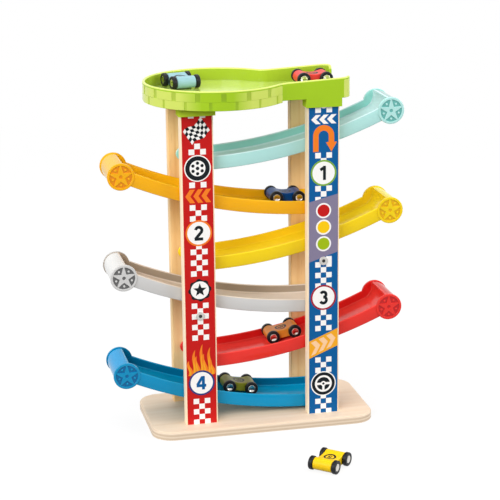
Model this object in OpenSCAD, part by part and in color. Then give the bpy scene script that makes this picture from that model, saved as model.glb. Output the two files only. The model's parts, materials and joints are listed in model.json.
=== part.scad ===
// Zigzag car tower: a wooden frame, a round top deck, six curved tracks and six small cars.
// Millimetres. Origin at the centre of the base board's underside, +X right, +Y away, +Z up.

/* [Base and posts] */
// Base board length, left to right
base_l = 246; // [238:0.5:254]
// Base board width, front to back
base_w = 125; // [118:0.5:134]
// Base board thickness
base_t = 9; // [8:0.5:12]
// Radius of the base board's corners in plan
base_corner_r = 23; // [16:0.5:26]
// Rounding of the base board's upper edge
base_edge_r = 2; // [1:0.25:3]
// Post width, left to right
post_w = 35; // [34:0.25:36.5]
// Post thickness, front to back
post_t = 12; // [11.5:0.25:13]
// Post height above the base board
post_h = 353.5; // [351:0.5:357]
// Distance between the left and right posts' centres
post_span = 136; // [133:0.5:138]
// Clear space between the front and back posts
post_gap = 62; // [61:0.25:63]
// Rounding of a post's long edges
post_edge_r = 1.2; // [0.6:0.1:1.6]

/* [Labels] */
// Width of a printed label strip
label_w = 32; // [29:0.25:32.5]
// Thickness of a label strip
label_t = 0.3; // [0.2:0.05:0.4]

/* [Top deck] */
// Outer radius of the round bowl
bowl_r = 77; // [75:0.5:79]
// Distance of the bowl's centre to the left of the middle
bowl_offset = 39; // [37:0.5:41]
// Radius where the bowl's wall runs into the channel's wall
deck_fillet_r = 16; // [10:0.5:20]
// Distance of the channel's open end to the right of the middle
deck_reach = 98.25; // [96:0.25:100]
// Thickness of the deck's walls
deck_wall = 3; // [2:0.1:3.2]
// Thickness of the deck's floor
deck_floor_t = 2.5; // [2:0.1:3]
// Height of the deck's wall above its floor
deck_rim = 13.5; // [11:0.5:16]
// How far the channel's wall reaches below the floor
channel_skirt = 2.5; // [1:0.25:4]
// How far the bowl's wall reaches below the floor
bowl_skirt = 4.5; // [3:0.25:6]
// How much higher the channel's wall is at its open end
channel_rise = 3.5; // [1:0.25:4]
// Radius of the channel's rounded corners at its open end
deck_end_r = 12; // [8:0.5:13]
// Room in front of a post inside its socket, wall included
socket_front = 3.5; // [3.3:0.05:4]
// Wall of a post socket
socket_wall = 1.6; // [1.2:0.1:2]
// Depth of the left post sockets
socket_left_depth = 14; // [11:0.5:16]
// Depth of the right post sockets
socket_right_depth = 11.5; // [9:0.5:14]

/* [Tracks] */
// Half the distance between the left and right drum axes
hub_reach = 146.7; // [145:0.1:148]
// Height of the highest drum axis above the base board
hub_top = 331.1; // [329:0.1:333]
// Step in height from one drum axis to the next
hub_step = 54.9; // [54.2:0.1:55.5]
// Distance from the drum axis to the lowest point of the track floor's long curve
arc_reach = 212.2; // [205:0.1:220]
// Fall of that curve from below the drum axis to its lowest point
track_drop = 47.3; // [44:0.1:50]
// Depth of the floor under the drum axis, if the curve ran on to it
floor_under_hub = 0.8; // [0.2:0.1:1.6]
// Distance from the drum axis to the track's low tip
track_l = 224.7; // [222:0.1:227]
// Outer width of a track
track_w = 57; // [55:0.25:58]
// Thickness of a track's walls
track_wall = 2; // [1.6:0.1:2.4]
// Thickness of a track's floor
floor_t = 2; // [1.6:0.1:2.4]
// Height of a track's wall above its floor
track_rim = 9.5; // [8:0.25:11]
// How far a track's wall reaches below its floor
track_skirt = 5; // [4:0.25:6]
// Radius of the discs that close a drum end
disc_r = 14.5; // [13.8:0.1:15.5]
// Distance between the outer faces of a drum's two discs
disc_span = 59; // [58.5:0.1:60]
// How far a disc stands out past the drum
disc_lip = 1; // [0.6:0.1:1.4]
// Radius of the stop wall's curve at the drum end
stop_r = 16; // [15:0.25:17]
// Distance from the drum axis to where the stop wall starts to rise
stop_start = 12; // [11:0.25:13]
// Diameter of the side pegs that sit in the posts
peg_d = 6; // [5:0.1:7]
// Depth of a side peg in its post
peg_depth = 6; // [4:0.25:7.5]

/* [Fasteners] */
// Tie bolt shank diameter
bolt_d = 5; // [4:0.1:5.6]
// Tie bolt head and nut flange diameter
bolt_head_d = 9.5; // [9:0.1:10.5]
// Tie bolt head and nut flange thickness
bolt_head_t = 1.1; // [0.8:0.05:1.15]
// Height of the left post's lower tie bolt above the base board
tie_left = 122.5; // [121:0.25:123.5]
// Height of the right post's lower tie bolt above the base board
tie_right = 174; // [168:0.5:176]
// Distance of the upper tie bolts below the post tops
tie_top_drop = 8.5; // [8:0.25:10]
// Outer diameter of the spacer sleeves
sleeve_d = 9; // [8:0.1:10]
// Base screw diameter
screw_d = 3.5; // [3:0.1:4]
// Base screw length
screw_l = 32; // [26:0.5:40]

/* [Cars] */
// Wheel diameter
wheel_d = 14.5; // [13.5:0.1:15.5]
// Wheel width
wheel_w = 4.6; // [4:0.1:5]
// Distance between the two axles
wheelbase = 25; // [23:0.1:27]
// Body width between the wheels
car_body_w = 21.4; // [20:0.1:22]
// Diameter of the body's round ends
car_barrel_d = 12.8; // [12:0.1:13.2]
// Height of the body's saddle above the axles
saddle_up = 4.1; // [3.4:0.1:4.8]
// Depth of the body's flat underside below the axles
belly_down = 5; // [4.2:0.1:5.6]
// Axle pin diameter
axle_d = 2.5; // [2:0.1:3]
// Hub cap diameter
cap_d = 9.8; // [9:0.1:10.6]
// Hub cap thickness
cap_t = 0.9; // [0.7:0.05:1.1]

/* [Where the cars stand] */
// Navy car on the orange track, right of the middle
navy_car_x = 38.4; // [20:0.1:52]
// Orange car on the red track, right of the middle
orange_car_x = 33.6; // [-30:0.1:90]
// Olive car on the blue track, left of the middle
olive_car_left = 16.5; // [-30:0.1:90]
// Red car's distance back from the deck's open end
red_car_back = 26.75; // [22:0.25:60]
// Yellow car's distance in front of the base board
yellow_car_ahead = 111; // [80:0.5:130]
// Yellow car, right of the middle
yellow_car_x = 39.4; // [-40:0.1:80]
// Direction in which the light blue car points
sky_car_angle = 102; // [95:1:112]
// Direction in which the yellow car points
yellow_car_angle = -133; // [-150:1:-110]

/* [Hidden] */
$fn = 64;
// Facets for the tracks' long curves
long_fn = 360;
// Overrun of every cut past the face it opens
overrun = 1;

// Named clearances
peg_clear = 0.05;
bolt_clear = 0.15;
thread_clear = 0.05;
axle_clear = 0.05;
socket_clear = 0.2;
ride_gap = 0.3;
wheel_side_gap = 0.4;
cap_side_gap = 0.3;
track_side_gap = 1.5;
screw_clear = 0.1;

// Small sizes of the single pieces
socket_head_across = 4;
socket_head_depth = 0.7;
nut_barrel_d = 7;
nut_barrel_l = 8;
bolt_end_gap = 1;
screw_head_d = 7;
screw_head_t = 2.4;
screw_tip_l = 4;
screw_offset = 8;
screw_sink = 0.3;
label_top_gap = 4;
wheel_edge = 0.8;
cap_seat = 1.2;
cap_dish = 0.5;
cap_dish_r = 3.9;
star_depth = 0.8;
disc_ring = 2.6;
star_dot_d = 2.4;
hub_dot_d = 4;
hub_dot_depth = 0.5;
peg_up = 2.2;
// The round low tip of a track is this much lower than the walls it closes
tip_step = 0.05;

// Shares of the sizes that they follow
star_waist_share = 0.46;
star_dot_share = 0.74;
sky_place_shares = [-0.412, 0.486];
red_place_share = 0.38;

STAR_POINTS = 5;
TRACKS = ["mint", "orange", "yellow", "grey", "red", "blue"];
CARS = ["sky", "red", "navy", "orange", "olive", "yellow"];
ENDS = ["front", "rear"];

// Heights and places in the tower
post_top = base_t + post_h;
post_x = post_span / 2;
post_in = post_gap / 2;
post_out = post_in + post_t;
label_face = post_out + label_t;
deck_floor_z = post_top + deck_floor_t;
channel_half = post_out + socket_front;
bowl_x = -bowl_offset;
fillet_x = bowl_x + sqrt(pow(bowl_r + deck_fillet_r, 2) - pow(channel_half + deck_fillet_r, 2));
fillet_y = channel_half + deck_fillet_r;
tie_top = post_top - tie_top_drop;
// Where the bowl's round wall gives way to the channel's plain wall
round_end_x = bowl_x + sqrt(pow(bowl_r, 2) - pow(channel_half, 2));

// The track's curve, in a frame with the drum axis at the origin and the tower at +X
floor_r = (pow(arc_reach, 2) + pow(track_drop, 2)) / (2 * track_drop);
arc_up = floor_r - track_drop - floor_under_hub;
tip_r = (track_rim + track_skirt) / 2 - tip_step;
tip_mid_r = floor_r + (track_skirt - track_rim) / 2;
low_angle = asin((track_l - tip_r - arc_reach) / tip_mid_r);
stop_angle = asin((arc_reach - stop_start) / floor_r);
wall_angle = asin((arc_reach - disc_r / 2) / floor_r);
stop_x = arc_reach - (floor_r - stop_r) * sin(stop_angle);
stop_z = arc_up - (floor_r - stop_r) * cos(stop_angle);
drum_r = disc_r - disc_lip;
drum_open_angle = 77;
drum_close_angle = 290;
stop_top_angle = 163;
track_half = track_w / 2;
track_inner_half = track_half - track_wall;
disc_t = disc_span / 2 - track_inner_half;
star_r = disc_r - disc_ring;

// Cars
wheel_r = wheel_d / 2;
axle_l = car_body_w + 2 * (wheel_side_gap + wheel_w) - 2 * (cap_seat - cap_t);
car_half_w = car_body_w / 2 + wheel_side_gap + wheel_w;
axle_path_r = floor_r - wheel_r - ride_gap;
car_path_r = sqrt(pow(axle_path_r, 2) - pow(wheelbase / 2, 2));
track_car_y = track_inner_half - car_half_w - track_side_gap;
barrel_r = car_barrel_d / 2;
saddle_r = (pow(wheelbase / 2, 2) + pow(saddle_up, 2) - pow(barrel_r, 2)) / (2 * (barrel_r - saddle_up));

CAR_PIECES = ["body", "front_axle", "rear_axle", "front_wheels", "rear_wheels"];
FIXED = [
    "base_board",
    "post_front_left", "post_front_right", "post_back_left", "post_back_right",
    "label_red", "label_blue",
    "top_deck",
    "tie_bolts", "tie_sleeves", "tie_nuts", "base_screws"
];
TRACK_NODES = [for (name = TRACKS) str("track_", name)];
CAR_NODES = [for (car = CARS) for (piece = CAR_PIECES) str(car, "_car_", piece)];

// Odd tracks start on the right, even ones on the left
function track_side(i) = i % 2 == 0 ? 1 : -1;
function hub_z(i) = base_t + hub_top - i * hub_step;
function arc_x(i) = track_side(i) * (hub_reach - arc_reach);
function floor_drop(d) = arc_up - sqrt(pow(floor_r, 2) - pow(d - arc_reach, 2));
function peg_z(i, x) = hub_z(i) + floor_drop(hub_reach - track_side(i) * x) + peg_up;
function tie_heights(x) = [base_t + (x < 0 ? tie_left : tie_right), tie_top];

function track_colour(name) =
    name == "mint" ? "PaleTurquoise" :
    name == "orange" ? "Orange" :
    name == "yellow" ? "Gold" :
    name == "grey" ? "Gainsboro" :
    name == "red" ? "Crimson" : "DeepSkyBlue";

function car_colour(car) =
    car == "sky" ? "SkyBlue" :
    car == "red" ? "Red" :
    car == "navy" ? "Navy" :
    car == "orange" ? "DarkOrange" :
    car == "olive" ? "OliveDrab" : "Yellow";

// A cylinder along +Y from a point
module rod_y(d, from, to) {
    translate([0, from, 0])
        rotate([-90, 0, 0])
            cylinder(d = d, h = to - from);
}

// A rectangle with round corners
module round_rectangle(l, w, r) {
    square([l - 2 * r, w], center = true);
    square([l, w - 2 * r], center = true);
    for (x = [-1, 1], y = [-1, 1])
        translate([x * (l / 2 - r), y * (w / 2 - r)])
            circle(r = r);
}

// The base board's quarter edge: square below, round above
module base_profile(reach) {
    square([reach - base_edge_r, base_t]);
    square([reach, base_t - base_edge_r]);
    translate([reach - base_edge_r, base_t - base_edge_r])
        circle(r = base_edge_r);
}

module screw_places() {
    for (x = [-1, 1], y = [-1, 1], k = [-1, 1])
        translate([x * post_x + k * screw_offset, y * (post_in + post_out) / 2, 0])
            children();
}

module base_board() {
    straight_l = base_l - 2 * base_corner_r;
    straight_w = base_w - 2 * base_corner_r;
    color("BurlyWood") difference() {
        union() {
            for (x = [-1, 1], y = [-1, 1])
                translate([x * straight_l / 2, y * straight_w / 2, 0])
                    rotate_extrude()
                        intersection() {
                            base_profile(base_corner_r);
                            square([base_corner_r, base_t]);
                        }
            for (turn = [0, 180]) {
                rotate([90, 0, 90 + turn])
                    translate([0, 0, -straight_l / 2])
                        linear_extrude(straight_l)
                            base_profile(base_w / 2);
                rotate([90, 0, turn])
                    translate([0, 0, -straight_w / 2])
                        linear_extrude(straight_w)
                            base_profile(base_l / 2);
            }
        }
        screw_places() {
            translate([0, 0, -overrun]) {
                cylinder(d = screw_d + 2 * screw_clear, h = base_t + 2 * overrun);
                cylinder(d = screw_head_d + 2 * screw_clear, h = overrun + screw_sink);
            }
            translate([0, 0, screw_sink])
                cylinder(
                    d1 = screw_head_d + 2 * screw_clear,
                    d2 = screw_d + 2 * screw_clear,
                    h = screw_head_t
                );
        }
    }
}

// One upright: blind peg holes on the inner face, tie bolt holes, screw holes beneath
module post(x, y) {
    color("BurlyWood") difference() {
        translate([x * post_x, y * (post_in + post_out) / 2, base_t])
            linear_extrude(post_h)
                round_rectangle(post_w, post_t, post_edge_r);
        for (i = [0 : len(TRACKS) - 1])
            translate([x * post_x, 0, peg_z(i, x * post_x)])
                rotate([0, 0, y < 0 ? 180 : 0])
                    rod_y(peg_d + 2 * peg_clear, post_in - overrun, post_in + peg_depth + peg_clear);
        for (z = tie_heights(x))
            translate([x * post_x, 0, z])
                rotate([0, 0, y < 0 ? 180 : 0]) {
                    rod_y(bolt_d + 2 * bolt_clear, post_in - overrun, post_out + overrun);
                    if (y > 0)
                        rod_y(
                            nut_barrel_d + 2 * bolt_clear,
                            post_out - nut_barrel_l - bolt_clear,
                            post_out + overrun
                        );
                }
        screw_places()
            cylinder(d = screw_d + 2 * screw_clear, h = screw_l + overrun);
    }
}

module post_front_left() {
    post(-1, -1);
}

module post_front_right() {
    post(1, -1);
}

module post_back_left() {
    post(-1, 1);
}

module post_back_right() {
    post(1, 1);
}

// A printed strip on a front post, with holes for the tie bolts
module label(x) {
    difference() {
        translate([x * post_x - label_w / 2, -label_face, base_t])
            cube([label_w, label_t, post_h - label_top_gap]);
        for (z = tie_heights(x))
            translate([x * post_x, 0, z])
                rod_y(bolt_d + 2 * bolt_clear, -label_face - overrun, -post_out + overrun);
    }
}

module label_red() {
    color("Red") label(-1);
}

module label_blue() {
    color("DodgerBlue") label(1);
}

// The deck's outline, grown or shrunk
module deck_plan(grow) {
    end_half = channel_half - deck_end_r;
    translate([bowl_x, 0])
        circle(r = bowl_r + grow);
    translate([bowl_x, -channel_half - grow])
        square([deck_reach - deck_end_r - bowl_x, 2 * (channel_half + grow)]);
    translate([bowl_x, -end_half])
        square([deck_reach + grow - bowl_x, 2 * end_half]);
    for (side = [-1, 1]) {
        translate([deck_reach - deck_end_r, side * end_half])
            circle(r = deck_end_r + grow);
        difference() {
            polygon([[bowl_x, 0], [fillet_x, 0], [fillet_x, side * fillet_y]]);
            translate([fillet_x, side * fillet_y])
                circle(r = deck_fillet_r - grow);
        }
    }
}

// The way out between the channel's rounded corners
module deck_exit(past) {
    end_half = channel_half - deck_end_r;
    translate([deck_reach - deck_end_r, -end_half])
        square([deck_end_r + past, 2 * end_half]);
}

// The deck walls seen from the front: deeper round the bowl, higher at the open end
module deck_side() {
    low_x = bowl_x - bowl_r - overrun;
    high_x = deck_reach + overrun;
    rim_z = deck_floor_z + deck_rim;
    rotate([90, 0, 0])
        linear_extrude(2 * (bowl_r + overrun), center = true)
            polygon([
                [low_x, post_top - bowl_skirt],
                [round_end_x, post_top - bowl_skirt],
                [round_end_x, post_top - channel_skirt],
                [high_x, post_top - channel_skirt],
                [high_x, rim_z + channel_rise],
                [round_end_x, rim_z],
                [low_x, rim_z]
            ]);
}

module post_socket(x, y, depth) {
    outer_w = post_w + 2 * (socket_clear + socket_wall);
    from_y = post_in - socket_clear - socket_wall;
    translate([x * post_x - outer_w / 2, y > 0 ? from_y : -channel_half, post_top - depth])
        cube([outer_w, channel_half - from_y, depth]);
}

module post_socket_room(x, y) {
    room_w = post_w + 2 * socket_clear;
    from_y = post_in - socket_clear;
    to_y = channel_half - socket_wall;
    room_h = max(socket_left_depth, socket_right_depth) + overrun;
    translate([x * post_x - room_w / 2, y > 0 ? from_y : -to_y, post_top - room_h])
        cube([room_w, to_y - from_y, room_h]);
}

// Slots in the sockets' inner walls, open below, for the upper tie sleeves
module sleeve_slots() {
    slot_w = sleeve_d + 2 * bolt_clear;
    slot_h = max(socket_left_depth, socket_right_depth);
    for (x = [-1, 1])
        translate([x * post_x, 0, tie_top]) {
            rod_y(slot_w, -post_in, post_in);
            translate([-slot_w / 2, -post_in, -slot_h])
                cube([slot_w, 2 * post_in, slot_h]);
        }
}

module top_deck() {
    wall_h = bowl_skirt + deck_floor_t + deck_rim + channel_rise;
    color("YellowGreen") difference() {
        union() {
            intersection() {
                translate([0, 0, post_top - bowl_skirt])
                    linear_extrude(wall_h)
                        difference() {
                            deck_plan(0);
                            deck_plan(-deck_wall);
                            deck_exit(overrun);
                        }
                deck_side();
            }
            translate([0, 0, post_top])
                linear_extrude(deck_floor_t) {
                    deck_plan(-deck_wall / 2);
                    deck_exit(0);
                }
            for (y = [-1, 1]) {
                post_socket(-1, y, socket_left_depth);
                post_socket(1, y, socket_right_depth);
            }
        }
        for (x = [-1, 1], y = [-1, 1])
            post_socket_room(x, y);
        sleeve_slots();
    }
}

// The track's cross-section, swept along its long curve: angles count from straight down
module along_curve(from_angle, to_angle) {
    translate([arc_reach, 0, arc_up])
        rotate([90, 0, 0])
            rotate_extrude(angle = to_angle - from_angle, start = 270 + from_angle, $fn = long_fn)
                children();
}

// A disc with a raised star, raised dots between its points and a hollow at its middle
module star_disc() {
    difference() {
        cylinder(r = disc_r, h = disc_t);
        translate([0, 0, disc_t - star_depth])
            linear_extrude(star_depth + overrun)
                difference() {
                    circle(r = star_r);
                    polygon([
                        for (k = [0 : 2 * STAR_POINTS - 1])
                            let (
                                r = k % 2 == 0 ? disc_r : star_r * star_waist_share,
                                a = 90 + k * 180 / STAR_POINTS
                            )
                            [r * cos(a), r * sin(a)]
                    ]);
                    for (k = [0 : STAR_POINTS - 1])
                        rotate(270 + k * 360 / STAR_POINTS)
                            translate([star_r * star_dot_share, 0])
                                circle(d = star_dot_d);
                }
        translate([0, 0, disc_t - hub_dot_depth])
            cylinder(d = hub_dot_d, h = hub_dot_depth + overrun);
    }
}

// An arc of plate across the track, at a drum end
module curved_plate(r, t, from_angle, to_angle) {
    plate_half = track_half - track_wall / 2;
    rotate([90, 0, 0])
        rotate_extrude(angle = to_angle - from_angle, start = from_angle)
            translate([r, -plate_half])
                square([t, 2 * plate_half]);
}

// One track, drum axis at the origin, running down towards +X
module track_shape() {
    plate_half = track_half - track_wall / 2;
    along_curve(-wall_angle, low_angle)
        for (y = [-track_half, track_inner_half])
            translate([floor_r - track_rim, y])
                square([track_rim + track_skirt, track_wall]);
    along_curve(-stop_angle, low_angle)
        translate([floor_r, -plate_half])
            square([floor_t, 2 * plate_half]);
    for (y = [-track_half, track_inner_half])
        translate([arc_reach + tip_mid_r * sin(low_angle), 0, arc_up - tip_mid_r * cos(low_angle)])
            rod_y(2 * tip_r, y, y + track_wall);
    translate([stop_x, 0, stop_z])
        curved_plate(stop_r, floor_t, stop_top_angle, 270 - stop_angle);
    curved_plate(drum_r - track_wall, track_wall, drum_open_angle, drum_close_angle);
    for (turn = [0, 180])
        rotate([90, 0, turn])
            translate([0, 0, track_inner_half])
                star_disc();
    for (d = [hub_reach - post_x, hub_reach + post_x], turn = [0, 180])
        translate([d, 0, floor_drop(d) + peg_up])
            rotate([0, 0, turn])
                rod_y(peg_d, plate_half, post_in + peg_depth);
}

module track(i) {
    color(track_colour(TRACKS[i]))
        translate([track_side(i) * hub_reach, 0, hub_z(i)])
            rotate([0, 0, track_side(i) > 0 ? 180 : 0])
                track_shape();
}

module tie_places() {
    for (x = [-1, 1])
        for (z = tie_heights(x))
            translate([x * post_x, 0, z])
                children();
}

module tie_bolts() {
    color("Silver") tie_places()
        difference() {
            union() {
                rod_y(bolt_head_d, -label_face - bolt_head_t, -label_face);
                rod_y(bolt_d, -label_face - bolt_head_t / 2, post_out - bolt_end_gap);
            }
            translate([0, -label_face - bolt_head_t - overrun, 0])
                rotate([-90, 0, 0])
                    cylinder(d = socket_head_across, h = socket_head_depth + overrun, $fn = 6);
        }
}

module tie_sleeves() {
    color("Gray") tie_places()
        difference() {
            rod_y(sleeve_d, -post_in, post_in);
            rod_y(bolt_d + 2 * bolt_clear, -post_in - overrun, post_in + overrun);
        }
}

module tie_nuts() {
    color("Silver") tie_places()
        difference() {
            union() {
                rod_y(bolt_head_d, post_out, post_out + bolt_head_t);
                rod_y(nut_barrel_d, post_out - nut_barrel_l, post_out + bolt_head_t / 2);
            }
            rod_y(
                bolt_d + 2 * thread_clear,
                post_out - nut_barrel_l - overrun,
                post_out - bolt_end_gap / 2
            );
        }
}

module base_screws() {
    color("Silver") screw_places() {
        translate([0, 0, screw_sink])
            cylinder(d1 = screw_head_d, d2 = screw_d, h = screw_head_t);
        translate([0, 0, screw_sink + screw_head_t])
            cylinder(d = screw_d, h = screw_l - screw_head_t - screw_tip_l - screw_sink);
        translate([0, 0, screw_l - screw_tip_l])
            cylinder(d1 = screw_d, d2 = 0, h = screw_tip_l);
    }
}

// A car stands with its middle between the axles at the origin, nose towards +X
module on_track(i, x) {
    a = asin((x - arc_x(i)) / car_path_r);
    translate([arc_x(i), track_car_y, hub_z(i) + arc_up])
        rotate([0, -a, 0])
            translate([0, 0, -car_path_r])
                children();
}

module on_flat(x, y, floor_z, turn) {
    translate([x, y, floor_z + wheel_r])
        rotate([0, 0, turn])
            children();
}

module place_car(car) {
    deck_ride_z = deck_floor_z + ride_gap;
    inner_r = bowl_r - deck_wall;
    if (car == "navy")
        on_track(1, navy_car_x) children();
    if (car == "orange")
        on_track(4, orange_car_x) rotate([0, 0, 180]) children();
    if (car == "olive")
        on_track(5, -olive_car_left) children();
    if (car == "sky")
        on_flat(
            bowl_x + inner_r * sky_place_shares[0], inner_r * sky_place_shares[1],
            deck_ride_z, sky_car_angle
        )
            children();
    if (car == "red")
        on_flat(deck_reach - red_car_back, red_place_share * channel_half, deck_ride_z, 0)
            children();
    if (car == "yellow")
        on_flat(yellow_car_x, -base_w / 2 - yellow_car_ahead, 0, yellow_car_angle)
            children();
}

function end_x(end) = end == "front" ? wheelbase / 2 : -wheelbase / 2;

// Wooden car body: two round ends joined by a saddle, bored for the axles
module car_body(car) {
    color(car_colour(car)) place_car(car)
        difference() {
            rotate([90, 0, 0])
                translate([0, 0, -car_body_w / 2])
                    linear_extrude(car_body_w) {
                        for (end = ENDS)
                            translate([end_x(end), 0])
                                circle(r = barrel_r);
                        difference() {
                            translate([-wheelbase / 2, -belly_down])
                                square([wheelbase, belly_down + barrel_r]);
                            translate([0, saddle_up + saddle_r])
                                circle(r = saddle_r, $fn = long_fn);
                        }
                    }
            for (end = ENDS)
                translate([end_x(end), 0, 0])
                    rod_y(
                        axle_d + 2 * axle_clear,
                        -car_body_w / 2 - overrun,
                        car_body_w / 2 + overrun
                    );
        }
}

// Steel pin with a dished hub cap pressed on each end
module car_axle(car, end) {
    half = axle_l / 2;
    color("Silver") place_car(car)
        translate([end_x(end), 0, 0])
            rotate([90, 0, 0])
                rotate_extrude()
                    polygon([
                        [0, -half + cap_dish],
                        [cap_dish_r, -half],
                        [cap_d / 2, -half],
                        [cap_d / 2, -half + cap_t],
                        [axle_d / 2, -half + cap_t],
                        [axle_d / 2, half - cap_t],
                        [cap_d / 2, half - cap_t],
                        [cap_d / 2, half],
                        [cap_dish_r, half],
                        [0, half - cap_dish]
                    ]);
}

// Black wheel, bored for the axle, with a seat for the hub cap
module wheel() {
    seat_r = cap_d / 2 + cap_side_gap;
    bore_r = axle_d / 2 + axle_clear;
    rotate_extrude()
        polygon([
            [bore_r, 0],
            [wheel_r - wheel_edge, 0],
            [wheel_r, wheel_edge],
            [wheel_r, wheel_w - wheel_edge],
            [wheel_r - wheel_edge, wheel_w],
            [seat_r, wheel_w],
            [seat_r, wheel_w - cap_seat],
            [bore_r, wheel_w - cap_seat]
        ]);
}

module car_wheels(car, end) {
    color("DimGray") place_car(car)
        translate([end_x(end), 0, 0])
            for (turn = [0, 180])
                rotate([90, 0, turn])
                    translate([0, 0, car_body_w / 2 + wheel_side_gap])
                        wheel();
}

base_board();
post_front_left();
post_front_right();
post_back_left();
post_back_right();
label_red();
label_blue();
top_deck();
tie_bolts();
tie_sleeves();
tie_nuts();
base_screws();
for (i = [0 : len(TRACKS) - 1])
    track(i);
for (car = CARS) {
    car_body(car);
    for (end = ENDS) {
        car_axle(car, end);
        car_wheels(car, end);
    }
}
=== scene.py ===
# %% [markdown]
# # Dressing a zigzag car tower
# On the real toy a wooden frame carries a round plastic deck and six curved tracks, and small
# wooden cars roll down from track to track. The construction was drawn in CAD, at real size, and
# it stays where it is. What is missing is everything the eye goes to first: rounded moulded
# edges, printed labels, wood grain and paint. One way would be to model the toy again from
# nothing; here each CAD piece is either given a better finish or replaced by a finer mesh of the
# same size, so that nothing has to be fitted afterwards.

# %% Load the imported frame
import json
import math

import bmesh
import bpy
from mathutils import Matrix, Vector

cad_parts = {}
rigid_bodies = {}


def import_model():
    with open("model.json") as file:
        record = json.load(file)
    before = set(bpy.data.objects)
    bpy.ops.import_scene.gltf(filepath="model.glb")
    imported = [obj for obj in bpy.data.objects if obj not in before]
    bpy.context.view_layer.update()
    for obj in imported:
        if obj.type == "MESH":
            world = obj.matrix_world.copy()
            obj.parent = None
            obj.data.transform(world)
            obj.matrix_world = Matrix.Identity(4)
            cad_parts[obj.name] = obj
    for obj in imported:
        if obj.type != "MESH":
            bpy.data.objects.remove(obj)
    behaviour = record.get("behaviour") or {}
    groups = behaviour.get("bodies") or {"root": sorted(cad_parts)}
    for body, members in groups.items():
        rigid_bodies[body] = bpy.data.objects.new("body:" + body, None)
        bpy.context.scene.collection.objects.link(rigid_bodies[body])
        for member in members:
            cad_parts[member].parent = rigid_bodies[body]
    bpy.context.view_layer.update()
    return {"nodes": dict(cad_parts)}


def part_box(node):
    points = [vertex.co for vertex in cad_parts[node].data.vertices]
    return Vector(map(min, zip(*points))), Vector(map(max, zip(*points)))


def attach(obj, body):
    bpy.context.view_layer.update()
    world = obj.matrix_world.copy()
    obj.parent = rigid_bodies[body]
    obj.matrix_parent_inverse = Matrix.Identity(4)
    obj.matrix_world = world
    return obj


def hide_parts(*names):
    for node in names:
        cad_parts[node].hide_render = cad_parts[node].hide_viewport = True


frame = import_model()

# %% [markdown]
# ## The camera
# The photograph was taken from the front, a little to the left and above, with a long lens. A
# camera could be placed by eye, but its direction, tilt and focal length were worked out from the
# corners of the posts and the drum discs, so they are written here as plain sizes and angles.

# %% Camera
MM = 0.001
PHOTO_WIDTH = 500
SENSOR_WIDTH = 36
FOCAL_PIXELS = 1679
CAMERA_PLACE = Vector((-391.3, -1720.9, 677.4)) * MM
CAMERA_AZIMUTH = math.radians(12.71)
CAMERA_ELEVATION = math.radians(15.49)
CAMERA_ROLL = -0.0108

level = Vector((math.cos(CAMERA_AZIMUTH), -math.sin(CAMERA_AZIMUTH), 0))
ahead = Vector((math.sin(CAMERA_AZIMUTH), math.cos(CAMERA_AZIMUTH), 0)) * math.cos(CAMERA_ELEVATION)
ahead.z = -math.sin(CAMERA_ELEVATION)
right = math.cos(CAMERA_ROLL) * level + math.sin(CAMERA_ROLL) * level.cross(ahead)
up = right.cross(ahead)

lens = bpy.data.cameras.new("photo_camera")
lens.sensor_width = SENSOR_WIDTH
lens.lens = FOCAL_PIXELS / PHOTO_WIDTH * SENSOR_WIDTH
camera = bpy.data.objects.new("photo_camera", lens)
camera.matrix_world = Matrix.Translation(CAMERA_PLACE) @ Matrix((right, up, -ahead)).transposed().to_4x4()
bpy.context.scene.collection.objects.link(camera)
bpy.context.scene.camera = camera
print("camera: lens", round(lens.lens, 1), "mm")

# %% [markdown]
# ## Shader maths as plain Python
# A material is a tree of nodes, and wiring one by hand takes many lines. The class below wraps
# one socket of such a tree. Adding or multiplying two of them adds the Math node that does it,
# and one method adds any other node, so that a recipe reads like a formula.

# %% Wire
class Wire:
    """One socket of a node tree, or only the tree where there is no socket yet."""

    def __init__(self, tree, socket=None):
        self.tree = tree
        self.socket = socket

    def node(self, kind, settings=None, inputs=None, output=0):
        """Adds a node: its settings first, then the values or wires of its inputs."""
        made = self.tree.nodes.new(kind)
        for name, value in (settings or {}).items():
            if name == "stops":
                set_stops(made.color_ramp.elements, value)
            else:
                setattr(made, name, value)
        for name, value in (inputs or {}).items():
            if isinstance(value, Wire):
                self.tree.links.new(value.socket, made.inputs[name])
            else:
                made.inputs[name].default_value = value
        return Wire(self.tree, made.outputs[output])

    def math(self, operation, first, second):
        return self.node("ShaderNodeMath", {"operation": operation}, {0: first, 1: second})

    def __add__(self, other):
        return self.math("ADD", self, other)

    def __radd__(self, other):
        return self.math("ADD", other, self)

    def __sub__(self, other):
        return self.math("SUBTRACT", self, other)

    def __rsub__(self, other):
        return self.math("SUBTRACT", other, self)

    def __mul__(self, other):
        return self.math("MULTIPLY", self, other)

    def __rmul__(self, other):
        return self.math("MULTIPLY", other, self)


def set_stops(ramp, stops):
    """Puts (place, colour) stops on a colour ramp, first and last on the two it starts with."""
    for element, (place, colour) in zip((ramp[0], ramp[-1]), (stops[0], stops[-1])):
        element.position = place
        element.color = colour
    for place, colour in stops[1:-1]:
        ramp.new(place).color = colour


print("wire ready")

# %% Colours and materials
def ink_colour(red, green, blue):
    """A colour as a screen shows it, 0 to 255, turned into the linear values a shader takes."""
    linear = []
    for part in (red, green, blue):
        share = part / 255
        linear.append(share / 12.92 if share < 0.04045 else ((share + 0.055) / 1.055) ** 2.4)
    return (*linear, 1)


def shade(colour, factor):
    """The same colour, lighter or darker."""
    return (*(min(1, part * factor) for part in colour[:3]), 1)


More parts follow.
